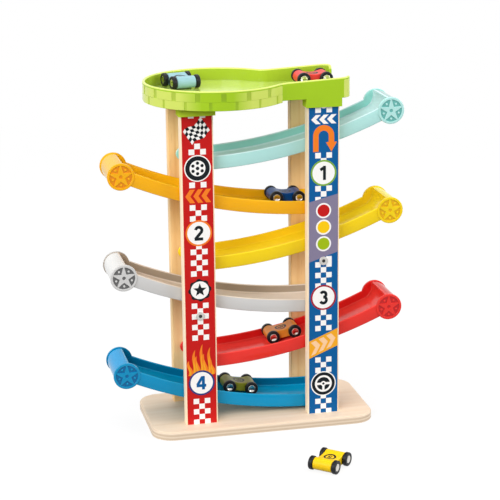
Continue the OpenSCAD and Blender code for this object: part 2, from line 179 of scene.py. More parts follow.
def material(name, recipe):
    """A material whose recipe gives values or wires for the sockets of the surface shader."""
    made = bpy.data.materials.new(name)
    made.use_nodes = True
    surface = made.node_tree.nodes["Principled BSDF"]
    for socket, value in recipe(Wire(made.node_tree)).items():
        if isinstance(value, Wire):
            made.node_tree.links.new(value.socket, surface.inputs[socket])
        else:
            surface.inputs[socket].default_value = value
    return made


print("colours and materials ready")

# %% [markdown]
# ## The studio
# The toy stands on a white sheet between five large soft lamps, and the picture's background is
# plain white. A brighter lamp would make the floor white, but it would bleach the colours too. So
# the lamps stay at a plain level, and the floor glows for rays that come straight from the camera
# or from a reflection. Near the toy a share of it is a matt sheet that takes a soft shadow, and
# further away it fades to plain white.

# %% Floor
FLOOR_SIZE = 24
FLOOR_GLOW = 0.87
SHADOW_REACH = (0.5, 1.7)
SHEET_WHITE = (0.95, 0.95, 0.95, 1)
SHEET_FIBRES = 900.0
FIBRE_SHADE = 0.9


def seen_directly(wire):
    """1 for rays that the camera, a mirror or glass sees, 0 for rays that only carry light."""
    seen = wire.node("ShaderNodeLightPath", output="Is Camera Ray")
    for ray in ("Is Glossy Ray", "Is Transmission Ray"):
        seen = wire.math("MAXIMUM", seen, wire.node("ShaderNodeLightPath", output=ray))
    return seen


def fade(wire, value, reach, levels):
    """Turns a value within its reach into a level between two, and holds it beyond."""
    return wire.node(
        "ShaderNodeMapRange",
        inputs={0: value, 1: reach[0], 2: reach[1], 3: levels[0], 4: levels[1]},
    )


def floor_material():
    made = bpy.data.materials.new("white_sheet")
    made.use_nodes = True
    tree = made.node_tree
    tree.nodes.remove(tree.nodes["Principled BSDF"])
    wire = Wire(tree)
    fibres = wire.node("ShaderNodeTexNoise", inputs={"Scale": SHEET_FIBRES})
    stops = [(0, shade(SHEET_WHITE, FIBRE_SHADE)), (1, SHEET_WHITE)]
    tone = wire.node("ShaderNodeValToRGB", {"stops": stops}, {0: fibres})
    sheet = wire.node("ShaderNodeBsdfDiffuse", inputs={"Color": tone})
    glow = wire.node("ShaderNodeEmission", inputs={"Strength": seen_directly(wire)})
    point = wire.node("ShaderNodeTexCoord", output="Object")
    away = wire.node("ShaderNodeVectorMath", {"operation": "LENGTH"}, {0: point}, "Value")
    share = fade(wire, away, SHADOW_REACH, (FLOOR_GLOW, 1.0))
    mixed = wire.node("ShaderNodeMixShader", inputs={0: share, 1: sheet, 2: glow})
    tree.links.new(mixed.socket, tree.nodes["Material Output"].inputs["Surface"])
    return made


half = FLOOR_SIZE / 2
sheet_mesh = bpy.data.meshes.new("white_sheet")
corners = [(-half, -half, 0), (half, -half, 0), (half, half, 0), (-half, half, 0)]
sheet_mesh.from_pydata(corners, [], [(0, 1, 2, 3)])
sheet_mesh.materials.append(floor_material())
floor = bpy.data.objects.new("white_sheet", sheet_mesh)
bpy.context.scene.collection.objects.link(floor)
print("floor:", FLOOR_SIZE, "m wide")

# %% World
AMBIENT = 0.62
world = bpy.data.worlds.new("studio")
bpy.context.scene.world = world
world.use_nodes = True
sky = Wire(world.node_tree)
backdrop = world.node_tree.nodes["Background"]
backdrop.inputs["Color"].default_value = (1, 1, 1, 1)
sky_level = AMBIENT + (1 - AMBIENT) * seen_directly(sky)
world.node_tree.links.new(sky_level.socket, backdrop.inputs["Strength"])
bpy.context.scene.view_settings.view_transform = "Standard"
print("world: ambient", AMBIENT)

# %% Lamps
AIM = Vector((0, 0, 0.18))
LAMPS = {
    "key_softbox": {"place": (-1.5, -1.8, 1.5), "size": 1.5, "power": 42},
    "fill_softbox": {"place": (1.7, -1.3, 1.1), "size": 1.4, "power": 20},
    "top_softbox": {"place": (0, 0.4, 2.4), "size": 1.8, "power": 18},
    "left_panel": {"place": (-2.3, -0.4, 1.2), "size": 1.4, "power": 18},
    "right_panel": {"place": (2.3, -0.2, 1.2), "size": 1.4, "power": 18},
}


def hang_lamp(name, place, size, power):
    light = bpy.data.lights.new(name, "AREA")
    light.size = size
    light.energy = power
    lamp = bpy.data.objects.new(name, light)
    lamp.location = place
    lamp.rotation_euler = (AIM - Vector(place)).to_track_quat("-Z", "Y").to_euler()
    bpy.context.scene.collection.objects.link(lamp)


for lamp_name, lamp in LAMPS.items():
    hang_lamp(lamp_name, **lamp)
print("lamps:", ", ".join(LAMPS))

# %% [markdown]
# ## Finishes
# Moulded plastic, planed beech, plywood, paint on wood, printed paper, black wheels and bright
# metal: each real one varies a little, in colour, in gloss and in fine relief. An image could
# hold that, but noise at the right scale gives it at any distance, with no file to carry. Every
# recipe reads the object's own coordinates in metres, so the grain moves with its piece. Each
# pattern below is named and written as its scale, its detail and, where it has a grain, how it is
# stretched along X, Y and Z.

# %% Finish helpers
def place_on_piece(wire, stretch=(1, 1, 1)):
    """The point on the piece, in metres, stretched so that a pattern runs along the grain."""
    point = wire.node("ShaderNodeTexCoord", output="Object")
    return wire.node("ShaderNodeMapping", inputs={"Vector": point, "Scale": stretch})


def noise(wire, scale, detail, stretch=(1, 1, 1)):
    point = place_on_piece(wire, stretch)
    return wire.node("ShaderNodeTexNoise", inputs={"Vector": point, "Scale": scale, "Detail": detail})


def blend_colours(wire, factor, first, second):
    return wire.node("ShaderNodeMix", {"data_type": "RGBA"}, {0: factor, 6: first, 7: second}, 2)


def mottled(wire, colour, shades, pattern):
    """A colour that drifts between a darker and a lighter shade of itself."""
    dark, light = (shade(colour, factor) for factor in shades)
    return blend_colours(wire, noise(wire, *pattern), dark, light)


def relief(wire, height, depth):
    """Fine relief of the surface: height 0 to 1, over a depth in metres."""
    return wire.node("ShaderNodeBump", inputs={"Height": height, "Distance": depth, "Strength": 1.0})


print("finish helpers: noise, mottled colour and relief")

# %% Moulded plastic
PLASTIC_ROUGHNESS = 0.1
PLASTIC_UNEVEN = 0.06
PIGMENT_SHADES = (0.93, 1.05)
PIGMENT_CLOUDS = (26.0, 3.0)
GLOSS_CLOUDS = (70.0, 4.0)
ORANGE_PEEL = (420.0, 2.0)
PEEL_DEPTH = 0.04 * MM
SHINE = 0.22
COAT_INDEX = 1.4


def plastic(name, colour, shine=SHINE, coat=0.0, coat_index=COAT_INDEX, pale=None, highlight_share=None):
    """Glossy moulded plastic: cloudy pigment, uneven gloss and a faint orange-peel skin. A paler
    colour, a painted highlight, takes over where a rule for the place on the piece says so."""

    def recipe(wire):
        pigment = mottled(wire, colour, PIGMENT_SHADES, PIGMENT_CLOUDS)
        if pale:
            pigment = blend_colours(wire, highlight_share(wire), pigment, pale)
        return {
            "Base Color": pigment,
            "Roughness": PLASTIC_ROUGHNESS + PLASTIC_UNEVEN * noise(wire, *GLOSS_CLOUDS),
            "Normal": relief(wire, noise(wire, *ORANGE_PEEL), PEEL_DEPTH),
            "Specular IOR Level": shine,
            "Coat Weight": coat,
            "Coat IOR": coat_index,
            "Coat Roughness": 0.2,
        }

    return material(name, recipe)


print("moulded plastic: roughness from", PLASTIC_ROUGHNESS, "to", PLASTIC_ROUGHNESS + PLASTIC_UNEVEN)

# %% [markdown]
# ### Tones of the tracks
# Every track is one plastic, yet it doesn't look like one colour, and that look is painted into
# the colour of each part of a moulding. The thick outer walls keep the plain colour. The inner sides
# take painted light and shade: painted shade on mint, red and blue, a painted brown reflection of
# the wood on grey, and paler on orange and yellow, against the lamps' shade. The pockets and the
# star's hollow take a darker painted shade. The running floor is polished, and it and the rims
# take a paler painted highlight. The thin drum takes a tone painted for the light on it and
# through it, paler than the walls on most tracks and darker on mint and red. One colour and
# stronger lamps could give some of that, but would bleach the rest. The columns below follow the
# tones; the deck's greens come with the deck.

# %% Plastic tones
# face is the plain colour; deep is painted light and shade of the inner sides; pocket is darker painted
# shade; floor is a paler painted highlight on the floor and the rims; drum is the drum's tone painted for
# the light on it.
TONES = {
    "face": {},
    "deep": {},
    "pocket": {},
    "floor": {"coat": 0.18},
    "drum": {"shine": 0.12},
}
FACE_TONE, INNER_LIT_AND_SHADED_TONE, POCKET_SHADE_TONE, FLOOR_AND_RIM_HIGHLIGHT_TONE, DRUM_PAINTED_LIGHT_TONE = range(len(TONES))
MOULDED = {
    "mint": [(179, 227, 223), (157, 222, 212), (108, 180, 174), (207, 236, 238), (148, 182, 179)],
    "orange": [(244, 175, 8), (248, 190, 26), (228, 142, 14), (246, 186, 20), (230, 180, 40)],
    "yellow": [(241, 207, 14), (252, 216, 34), (228, 176, 10), (254, 224, 36), (242, 222, 64)],
    "grey": [(205, 204, 203), (168, 152, 133), (102, 102, 102), (225, 212, 198), (222, 222, 220)],
    "red": [(230, 50, 42), (228, 36, 34), (196, 34, 36), (242, 66, 58), (204, 54, 48)],
    "blue": [(0, 140, 189), (0, 110, 150), (0, 104, 158), (4, 150, 196), (10, 150, 208)],
}
plastics = {}
for pigment, colours in MOULDED.items():
    for (tone, gloss), colour in zip(TONES.items(), colours):
        plastics[pigment, tone] = plastic(f"{pigment}_plastic_{tone}", ink_colour(*colour), **gloss)
print("plastics:", len(plastics))

# %% [markdown]
# ### Wood
# The posts are planed beech: pale, with long fine streaks and short darker flecks. The base is
# plywood, so its top shows one veneer and its edge shows the plies as bands. Both are the same
# recipe with the grain running another way; the bands are a wave over the height, shown only
# where the surface faces sideways.

# %% Wood grain
STREAK_STOPS = (0.3, 0.55, 0.75)
STREAK_MIX = 0.35
FLECK_EDGE = (0.66, 0.76)
FLECK_STRENGTH = 0.45
FLECK_SHADE = 0.8


def between(first, second, share):
    return tuple(a + (b - a) * share for a, b in zip(first, second))


def grain_colour(wire, pale, dark, streaks, flecks):
    """Streaks from pale to dark, with small darker flecks on them."""
    colours = (pale, between(pale, dark, STREAK_MIX), dark)
    stops = list(zip(STREAK_STOPS, colours))
    streaked = wire.node("ShaderNodeValToRGB", {"stops": stops}, {0: streaks})
    mark = fade(wire, flecks, FLECK_EDGE, (0.0, FLECK_STRENGTH))
    return blend_colours(wire, mark, streaked, shade(dark, FLECK_SHADE))


print("wood grain: streaks in", len(STREAK_STOPS), "tones")

# %% Beech
BEECH_STREAKS = (1.0, 5.0, (160, 160, 6))
BEECH_FLECKS = (1.0, 1.0, (900, 900, 60))
BEECH_PORES = (1.0, 2.0, (1800, 1800, 50))
PORE_SHARE = 0.4
BEECH_RELIEF = 0.06 * MM


def beech(name, pale, dark):
    def recipe(wire):
        streaks = noise(wire, *BEECH_STREAKS)
        pores = PORE_SHARE * noise(wire, *BEECH_PORES)
        return {
            "Base Color": grain_colour(wire, pale, dark, streaks, noise(wire, *BEECH_FLECKS)),
            "Roughness": 0.42 + 0.16 * streaks,
            "Normal": relief(wire, streaks + pores, BEECH_RELIEF),
        }

    return material(name, recipe)


beech_front = beech("beech_front", ink_colour(255, 236, 206), ink_colour(246, 212, 168))
# The back posts take a darker, more saturated copy of the beech: painted shade.
shaded_beech_back = beech("shaded_beech_back", ink_colour(252, 214, 154), ink_colour(238, 188, 120))
print("beech: front and back posts")

# %% Plywood
PLY_COUNT = 5
BASE_LOW, BASE_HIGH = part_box("base_board")
PLY_PITCH = (BASE_HIGH.z - BASE_LOW.z) / PLY_COUNT
PLY_SHADE = 1.02
GLUE_SHADE = 0.86
PLY_WAVER = 0.15
WAVER_CLOUDS = (40.0, 2.0)
GLUE_EDGE = (0.42, 0.58)
EDGE_TURN = (0.75, 0.9)
EDGE_SHARE = 0.8
VENEER_STREAKS = (1.0, 5.0, (7, 120, 120))
VENEER_FLECKS = (1.0, 1.0, (60, 800, 800))
VENEER_RELIEF = 0.05 * MM


def plywood(name, pale, dark):
    def recipe(wire):
        streaks = noise(wire, *VENEER_STREAKS)
        veneer = grain_colour(wire, pale, dark, streaks, noise(wire, *VENEER_FLECKS))
        height = wire.node("ShaderNodeSeparateXYZ", inputs={0: place_on_piece(wire)}, output="Z")
        turns = height * (1 / PLY_PITCH) + PLY_WAVER * noise(wire, *WAVER_CLOUDS)
        ply = wire.math("PINGPONG", turns, 1.0)
        glue = fade(wire, ply, GLUE_EDGE, (0.0, 1.0))
        bands = blend_colours(wire, glue, shade(pale, PLY_SHADE), shade(dark, GLUE_SHADE))
        facing = wire.node("ShaderNodeNewGeometry", output="Normal")
        upward = wire.node("ShaderNodeSeparateXYZ", inputs={0: facing}, output="Z")
        side = fade(wire, wire.math("ABSOLUTE", upward, 0.0), EDGE_TURN, (EDGE_SHARE, 0.0))
        return {
            "Base Color": blend_colours(wire, side, veneer, bands),
            "Roughness": 0.46 + 0.14 * streaks,
            "Normal": relief(wire, streaks, VENEER_RELIEF),
        }

    return material(name, recipe)


plywood_base = plywood("plywood_base", ink_colour(234, 214, 190), ink_colour(226, 200, 170))
print("plywood:", PLY_COUNT, "plies of", round(PLY_PITCH / MM, 2), "mm")

# %% [markdown]
# ### Paint, wheels, metal and print
# The cars are wood under satin paint, so a little grain still shows as relief. The wheels are
# black and slightly glossy. Their hub caps are pressed metal: a satin rim round a dish that is
# polished, so it mirrors what is in front of it. The labels are printed paper under a clear film:
# even colour, a soft gloss and hardly any relief.

# %% Car paint
PAINT_GRAIN = (1.0, 4.0, (90, 500, 500))
PAINT_SHADES = (0.88, 1.08)
PAINT_SMEARS = (260.0, 3.0)
PAINT_RELIEF = 0.05 * MM
PAINTS = {
    "sky": (142, 182, 190),
    "red": (220, 62, 58),
    "navy": (4, 66, 132),
    "orange": (228, 148, 50),
    "olive": (128, 132, 36),
    "yellow": (240, 198, 20),
}


def car_paint(name, colour):
    def recipe(wire):
        return {
            "Base Color": mottled(wire, colour, PAINT_SHADES, PAINT_GRAIN),
            "Roughness": 0.28 + 0.14 * noise(wire, *PAINT_SMEARS),
            "Normal": relief(wire, noise(wire, *PAINT_GRAIN), PAINT_RELIEF),
            "Specular IOR Level": 0.14,
            "Coat Weight": 0.06,
            "Coat Roughness": 0.12,
        }

    return material(name, recipe)


paints = {car: car_paint(f"{car}_paint", ink_colour(*colour)) for car, colour in PAINTS.items()}
print("paints:", ", ".join(paints))

# %% Black wheels
WHEEL_DUST = (500.0, 4.0)
WHEEL_SKIN = (900.0, 2.0)
WHEEL_RELIEF = 0.04 * MM
WHEEL_TONES = (ink_colour(12, 13, 16), ink_colour(28, 30, 34))


def wheel_black():
    def recipe(wire):
        dust = noise(wire, *WHEEL_DUST)
        return {
            "Base Color": blend_colours(wire, dust, *WHEEL_TONES),
            "Roughness": 0.30 + 0.18 * dust,
            "Normal": relief(wire, noise(wire, *WHEEL_SKIN), WHEEL_RELIEF),
            "Specular IOR Level": 0.22,
        }

    return material("wheel_black", recipe)


tyre_black = wheel_black()
print("wheels:", tyre_black.name)

# %% Bright metal
METAL_SHADES = (0.85, 1.0)
BRUSH_MARKS = (700.0, 4.0)
BRUSH_UNEVEN = 0.12
BRUSH_RELIEF = 0.02 * MM


def bright_metal(name, colour, roughness, metallic=1.0):
    def recipe(wire):
        brush = noise(wire, *BRUSH_MARKS)
        return {
            "Base Color": mottled(wire, colour, METAL_SHADES, BRUSH_MARKS),
            "Metallic": metallic,
            "Roughness": roughness + BRUSH_UNEVEN * brush,
            "Normal": relief(wire, brush, BRUSH_RELIEF),
        }

    return material(name, recipe)


hub_metal = bright_metal("hub_metal", ink_colour(244, 241, 230), 0.2, 0.6)
dish_metal = bright_metal("dish_metal", ink_colour(226, 222, 214), 0.08)
steel = bright_metal("steel", ink_colour(206, 203, 198), 0.3)
# The darker steel is painted shade for the inside of the bolts' hexagon sockets.
hex_shade_steel = bright_metal("hex_shade_steel", ink_colour(70, 68, 66), 0.4)
sleeve_metal = bright_metal("sleeve_metal", ink_colour(176, 178, 182), 0.34)
print("metals: hub rim, hub dish, steel in two tones, sleeve")

# %% Printing inks
INK_SHADES = (0.95, 1.03)
PAPER_FIBRES = (1.0, 3.0, (700, 700, 240))
FILM_SMEARS = (180.0, 3.0)
PAPER_RELIEF = 0.01 * MM
INKS = {
    "red": (196, 30, 28),
    "blue": (12, 91, 152),
    "white": (250, 247, 244),
    "black": (20, 26, 30),
    "orange": (244, 128, 40),
    "amber": (244, 170, 42),
    "peach": (252, 206, 160),
    "green": (126, 172, 58),
    "lime": (160, 186, 24),
    "yellow": (250, 202, 20),
    "navy": (38, 58, 122),
    "crimson": (166, 34, 48),
    "violet": (132, 124, 150),
}
INK_ORDER = list(INKS)


def print_ink(name, colour):
    def recipe(wire):
        return {
            "Base Color": mottled(wire, colour, INK_SHADES, PAPER_FIBRES),
            "Roughness": 0.30 + 0.10 * noise(wire, *FILM_SMEARS),
            "Normal": relief(wire, noise(wire, *PAPER_FIBRES), PAPER_RELIEF),
            "Specular IOR Level": 0.12,
        }

    return material(name, recipe)


inks = {ink: print_ink(f"{ink}_ink", ink_colour(*colour)) for ink, colour in INKS.items()}
print("inks:", len(inks))

# %% [markdown]
# ## From outlines to pieces
# Nearly all pieces of the toy are an outline pushed or turned through space: a wall swept along
# a curve, a wheel turned on a lathe, a plate cut from sheet. Modifiers could do each of these,
# but a few short functions cover them all: one joins a row of equal rings into a closed skin, and
# the others make such rings from a profile or an outline. A mould collects skins in millimetres and
# casts them as one Blender piece that rides on its CAD body.

# %% Outline helpers
def arc(centre, radius, start, end, steps):
    """Points on a circle, from one angle to another in degrees, both ends included."""
    turns = [math.radians(start + (end - start) * k / steps) for k in range(steps + 1)]
    return [(centre[0] + radius * math.cos(t), centre[1] + radius * math.sin(t)) for t in turns]


def circle(centre, radius, count):
    """The points of a whole circle, each once."""
    return arc(centre, radius, 0, 360 - 360 / count, count - 1)


def loft(rings, closed=False):
    """A skin through equal rings of points: a capped bar, or a closed loop of rings."""
    count = len(rings[0])
    points = [point for ring in rings for point in ring]
    faces = []
    for i in range(len(rings) if closed else len(rings) - 1):
        near = i * count
        far = (i + 1) % len(rings) * count
        for k in range(count):
            after = (k + 1) % count
            faces.append((near + k, near + after, far + after, far + k))
    if not closed:
        faces.append(tuple(reversed(range(count))))
        faces.append(tuple(range(len(points) - count, len(points))))
    return points, faces


def spun(profile_at, steps, start=0):
    """A skin about the Z axis, whose (radius, height) profile may change with the angle."""
    rings = []
    for angle in (start + 360 * k / steps for k in range(steps)):
        c = math.cos(math.radians(angle))
        s = math.sin(math.radians(angle))
        rings.append([(r * c, r * s, h) for r, h in profile_at(angle)])
    return loft(rings, closed=True)


def turned(profile, steps):
    """A closed (radius, height) profile turned about the Z axis."""
    return spun(lambda angle: profile, steps)


def plate(outline, low, high):
    """A flat outline pushed from one height to another."""
    return loft([[(x, y, low) for x, y in outline], [(x, y, high) for x, y in outline]])


print("outline helpers: arc, circle, loft, spun, turned, plate")

# %% Soft edges
SMOOTH_ANGLE = math.radians(38)
BEVEL_STEPS = 2


def soften(piece, edge):
    """Rounds the sharp edges of a piece, as a mould or sandpaper leaves them."""
    bevel = piece.modifiers.new("soft_edges", "BEVEL")
    bevel.width = edge * MM
    bevel.segments = BEVEL_STEPS
    bevel.limit_method = "ANGLE"
    bevel.angle_limit = SMOOTH_ANGLE
    bevel.harden_normals = True


print("soft edges:", BEVEL_STEPS, "steps")

# %% Mould
WELD = 1e-7


class Mould:
    """Collects closed skins, in millimetres, and casts them as one piece."""

    def __init__(self):
        self.points = []
        self.faces = []
        self.finishes = []

    def add(self, skin, finish=0, place=None):
        """Adds a skin; finish is a material's place in the list, a row of places for the sides of a
        swept section, or a rule for each face's points."""
        points, faces = skin
        first = len(self.points)
        self.points += [place(p) for p in points] if place else list(points)
        for i, face in enumerate(faces):
            self.faces.append([first + k for k in face])
            if callable(finish):
                self.finishes.append(finish([points[k] for k in face]))
            else:
                self.finishes.append(finish[i % len(finish)] if isinstance(finish, list) else finish)

    def cast(self, name, body, slot, finishes, stands_for=(), edge=0.0):
        """Makes the Blender object, softens its edges and lets it ride on its CAD body."""
        mesh = bpy.data.meshes.new(name)
        mesh.from_pydata([Vector(p) * MM for p in self.points], [], self.faces)
        for finish in finishes:
            mesh.materials.append(finish)
        mesh.polygons.foreach_set("material_index", self.finishes)
        work = bmesh.new()
        work.from_mesh(mesh)
        bmesh.ops.remove_doubles(work, verts=work.verts, dist=WELD)
        bmesh.ops.recalc_face_normals(work, faces=work.faces)
        work.to_mesh(mesh)
        work.free()
        mesh.shade_smooth()
        piece = bpy.data.objects.new(name, mesh)
        bpy.context.scene.collection.objects.link(piece)
        if edge:
            soften(piece, edge)
        else:
            mesh.set_sharp_from_angle(angle=SMOOTH_ANGLE)
        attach(piece, body)
        if stands_for:
            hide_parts(*stands_for)
        return piece


print("mould ready")

# %% [markdown]
# ## Posts, base and hidden metal
# The posts and the base already have their true shape in CAD, rounded edges included, so they
# keep their solids and only take the wood. The same holds for the label strips under the print,
# for the spacer sleeves between the posts and for the screws under the base.

# %% Finish the CAD pieces that stay
def finish_node(node, finish):
    slots = frame["nodes"][node].data.materials
    slots.clear()
    slots.append(finish)


KEPT = {
    "base_board": plywood_base,
    "post_front_left": beech_front,
    "post_front_right": beech_front,
    "post_back_left": shaded_beech_back,
    "post_back_right": shaded_beech_back,
    "label_red": inks["red"],
    "label_blue": inks["blue"],
    "tie_sleeves": sleeve_metal,
    "base_screws": steel,
}
for kept_node, finish in KEPT.items():
    finish_node(kept_node, finish)
print("kept CAD pieces:", len(KEPT))

# %% [markdown]
# ## The curved tracks
# Each track is one moulding: two thin walls with rounded rims, a floor between them that turns
# up into a stop, a drum behind the stop, and a wheel-pattern disc at each side of the drum. A
# boolean of solids would give hard edges, so the walls and the floor are swept along their
# curves ring by ring. The sizes repeat those of the CAD solids, which the new pieces replace.

# %% Track sizes
DISC_R = 14.5
ARC_REACH = 212.2
TRACK_DROP = 47.3
FLOOR_UNDER_HUB = 0.8
FLOOR_R = (ARC_REACH**2 + TRACK_DROP**2) / (2 * TRACK_DROP)
ARC_UP = FLOOR_R - TRACK_DROP - FLOOR_UNDER_HUB
TRACK_LENGTH = 224.7
TRACK_HALF = 28.5
WALL = 2.0
WALL_MID = TRACK_HALF - WALL / 2
RIM = 9.5
SKIRT = 5.0
TIP_R = (RIM + SKIRT) / 2
TIP_MID_R = FLOOR_R + (SKIRT - RIM) / 2
TIP_END = 88
LOW_ANGLE = math.degrees(math.asin((TRACK_LENGTH - TIP_R - ARC_REACH) / TIP_MID_R))
WALL_ANGLE = math.degrees(math.asin((ARC_REACH - DISC_R / 2) / FLOOR_R))
print("track: floor radius", round(FLOOR_R, 1), "mm, low end at", round(LOW_ANGLE, 2), "degrees")

# %% Track walls
CURVE_STEPS = 56
RIM_STEPS = 6
TIP_STEPS = 12


def on_curve(radius, angle):
    """A point of the track's long curve, drum axis at the origin, tower towards +X."""
    a = math.radians(angle)
    return ARC_REACH + radius * math.sin(a), ARC_UP - radius * math.cos(a)


def wall_ring(angle, half_height, y):
    """A wall's cross-section with a round rim above and below."""
    round_r = min(WALL / 2, half_height)
    ring = []
    for sign in (-1, 1):
        mid = TIP_MID_R + sign * (half_height - round_r)
        for k in range(RIM_STEPS + 1):
            t = math.pi * (k / RIM_STEPS) + (math.pi if sign < 0 else 0)
            x, z = on_curve(mid + round_r * math.sin(t), angle)
            ring.append((x, y + WALL / 2 * math.cos(t), z))
    return ring


def track_wall(y):
    """One side wall, from inside the disc down to its rounded low tip."""
    rings = []
    for k in range(CURVE_STEPS + 1):
        angle = -WALL_ANGLE + (LOW_ANGLE + WALL_ANGLE) * k / CURVE_STEPS
        rings.append(wall_ring(angle, TIP_R, y))
    tip_turn = math.degrees(TIP_R / TIP_MID_R)
    for k in range(1, TIP_STEPS + 1):
        t = math.radians(TIP_END * k / TIP_STEPS)
        rings.append(wall_ring(LOW_ANGLE + tip_turn * math.sin(t), TIP_R * math.cos(t), y))
    return loft(rings)


def wall_tones(y):
    """The tones round a wall's section: upper rim with a painted highlight, one side, lower rim, other
    side; the inner side takes the painted light and shade of the inside.
    """
    one, other = (INNER_LIT_AND_SHADED_TONE, FACE_TONE) if y < 0 else (FACE_TONE, INNER_LIT_AND_SHADED_TONE)
    return [FLOOR_AND_RIM_HIGHLIGHT_TONE] * RIM_STEPS + [one] + [FACE_TONE] * RIM_STEPS + [other]


print("track wall:", CURVE_STEPS + TIP_STEPS + 1, "rings")

# %% Track floor
FLOOR_T = 2.0
FLOOR_FILLET = 1.4
FILLET_STEPS = 5
STOP_R = 16.0
STOP_START = 12.0
STOP_TOP = 163
STOP_STEPS = 20
STOP_ANGLE = math.degrees(math.asin((ARC_REACH - STOP_START) / FLOOR_R))


def floor_path():
    """Points and inward normals along the floor and up the stop behind the cars."""
    path = []
    for k in range(CURVE_STEPS + 1):
        angle = LOW_ANGLE - (LOW_ANGLE + STOP_ANGLE) * k / CURVE_STEPS
        a = math.radians(angle)
        path.append((on_curve(FLOOR_R, angle), (-math.sin(a), math.cos(a))))
    stop_centre = on_curve(FLOOR_R - STOP_R, -STOP_ANGLE)
    for x, z in arc(stop_centre, STOP_R, 270 - STOP_ANGLE, STOP_TOP, STOP_STEPS)[1:]:
        path.append(((x, z), ((stop_centre[0] - x) / STOP_R, (stop_centre[1] - z) / STOP_R)))
    return path


def floor_section():
    """Across the floor: a flat plate with a small fillet up to each wall."""
    fillet_mid = (FLOOR_FILLET - (TRACK_HALF - WALL), FLOOR_FILLET)
    left = [(-WALL_MID, FLOOR_FILLET)] + arc(fillet_mid, FLOOR_FILLET, 180, 270, FILLET_STEPS)
    right_side = [(-y, h) for y, h in reversed(left)]
    return left + right_side + [(WALL_MID, -FLOOR_T), (-WALL_MID, -FLOOR_T)]


def track_floor():
    rings = []
    for (x, z), (nx, nz) in floor_path():
        rings.append([(x + nx * h, y, z + nz * h) for y, h in floor_section()])
    return loft(rings)


print("track floor: stop at", round(STOP_ANGLE, 2), "degrees")

# %% Drum
DRUM_R = 13.5
DRUM_OPEN = 77
DRUM_CLOSE = 290
DRUM_STEPS = 40


def drum_sheet():
    """The round back of the drum, open towards the stop."""
    inner = DRUM_R - WALL
    section = [(inner, -WALL_MID), (DRUM_R, -WALL_MID), (DRUM_R, WALL_MID), (inner, WALL_MID)]
    rings = []
    for k in range(DRUM_STEPS + 1):
        a = math.radians(DRUM_OPEN + (DRUM_CLOSE - DRUM_OPEN) * k / DRUM_STEPS)
        rings.append([(r * math.cos(a), y, r * math.sin(a)) for r, y in section])
    return loft(rings)


print("drum: open from", DRUM_CLOSE, "to", DRUM_OPEN, "degrees")

# %% [markdown]
# ### The wheel-pattern discs
# Seen from the front, each drum ends in a disc like a small wheel: a rim, a raised star with a
# hollow at its middle, and a raised dot in each pocket. A texture could fake it, but the pockets
# catch real shade, so the star is a ring of points whose radius follows a formula; their floors
# and the star's hollow are also painted darker, as painted shade. What stands on the pockets'
# floor is sunk a little into it, so that no two faces lie in one plane.

# %% Disc
DISC_INNER = 26.45
DISC_OUTER = 29.5
DISC_T = DISC_OUTER - DISC_INNER
DISC_ROUND = 0.6
DISC_ROUND_STEPS = 4
DISC_BACK_EDGE = 0.3
FINE_EDGE = 0.2
POCKET_R = 11.9
POCKET_DEPTH = 0.8
POCKET_FLOOR = DISC_T - POCKET_DEPTH


def disc_profile():
    """The disc itself: rounded outer edge, raised rim and sunken face."""
    return [
        (0, 0), (DISC_R - DISC_BACK_EDGE, 0), (DISC_R, DISC_BACK_EDGE),
        *arc((DISC_R - DISC_ROUND, DISC_T - DISC_ROUND), DISC_ROUND, 0, 90, DISC_ROUND_STEPS),
        (POCKET_R + FINE_EDGE, DISC_T), (POCKET_R, DISC_T - FINE_EDGE),
        (POCKET_R, POCKET_FLOOR), (0, POCKET_FLOOR),
    ]


print("disc:", round(DISC_T, 2), "mm thick")

# %% Star
STAR_ARMS = 5
STAR_TOP = 90
STAR_WAIST_SHARE = 0.4
STAR_WAIST = STAR_WAIST_SHARE * POCKET_R
STAR_EDGE = 0.15
STAR_EDGE_DOWN = 0.12
STAR_BELOW_RIM = 0.04
STAR_FACE = DISC_T - STAR_BELOW_RIM
HUB_DOT_R = 2.0
HUB_DOT_DEPTH = 0.5
STAR_HOLLOW = STAR_FACE - HUB_DOT_DEPTH
SUNK = 0.1


def star_radius(angle):
    """The star's edge in a direction, from the tip of an arm to the waist between two."""
    step = 180 / STAR_ARMS
    turn = (angle - STAR_TOP) % (2 * step)
    turn = min(turn, 2 * step - turn)
    tip = math.sin(math.radians(turn)) * DISC_R
    waist = math.sin(math.radians(step - turn)) * STAR_WAIST
    return min(DISC_R * STAR_WAIST * math.sin(math.radians(step)) / (tip + waist), POCKET_R + SUNK)


def star_profile(angle):
    """The raised star in one direction, with a round hollow in its middle."""
    edge = star_radius(angle)
    base = POCKET_FLOOR - SUNK
    return [
        (0, base), (edge, base), (edge, STAR_FACE - STAR_EDGE_DOWN), (edge - STAR_EDGE, STAR_FACE),
        (HUB_DOT_R, STAR_FACE), (HUB_DOT_R - STAR_EDGE, STAR_HOLLOW), (0, STAR_HOLLOW),
    ]


print("star:", STAR_ARMS, "arms")

# %% Dots and tones
STAR_DOT_R = 1.2
STAR_DOT_SHARE = 0.74
STAR_DOT_PLACE = STAR_DOT_SHARE * POCKET_R
DISC_STEPS = 64
STAR_STEPS = 90
DOT_STEPS = 18
HEIGHT_SLACK = 0.001


def dot_profile():
    base = POCKET_FLOOR - SUNK
    return [
        (0, base), (STAR_DOT_R, base), (STAR_DOT_R, DISC_T - FINE_EDGE),
        (STAR_DOT_R - FINE_EDGE, DISC_T), (0, DISC_T),
    ]


def disc_tone(points):
    """The disc's inner side takes the painted light and shade of the inside, and the bottom of each
    pocket and of the star's hollow takes darker painted shade.
    """
    heights = [p[2] for p in points]
    if max(heights) < HEIGHT_SLACK:
        return INNER_LIT_AND_SHADED_TONE
    sunken = min(heights) > DISC_T / 2 and max(heights) < STAR_HOLLOW + HEIGHT_SLACK
    return POCKET_SHADE_TONE if sunken else FACE_TONE


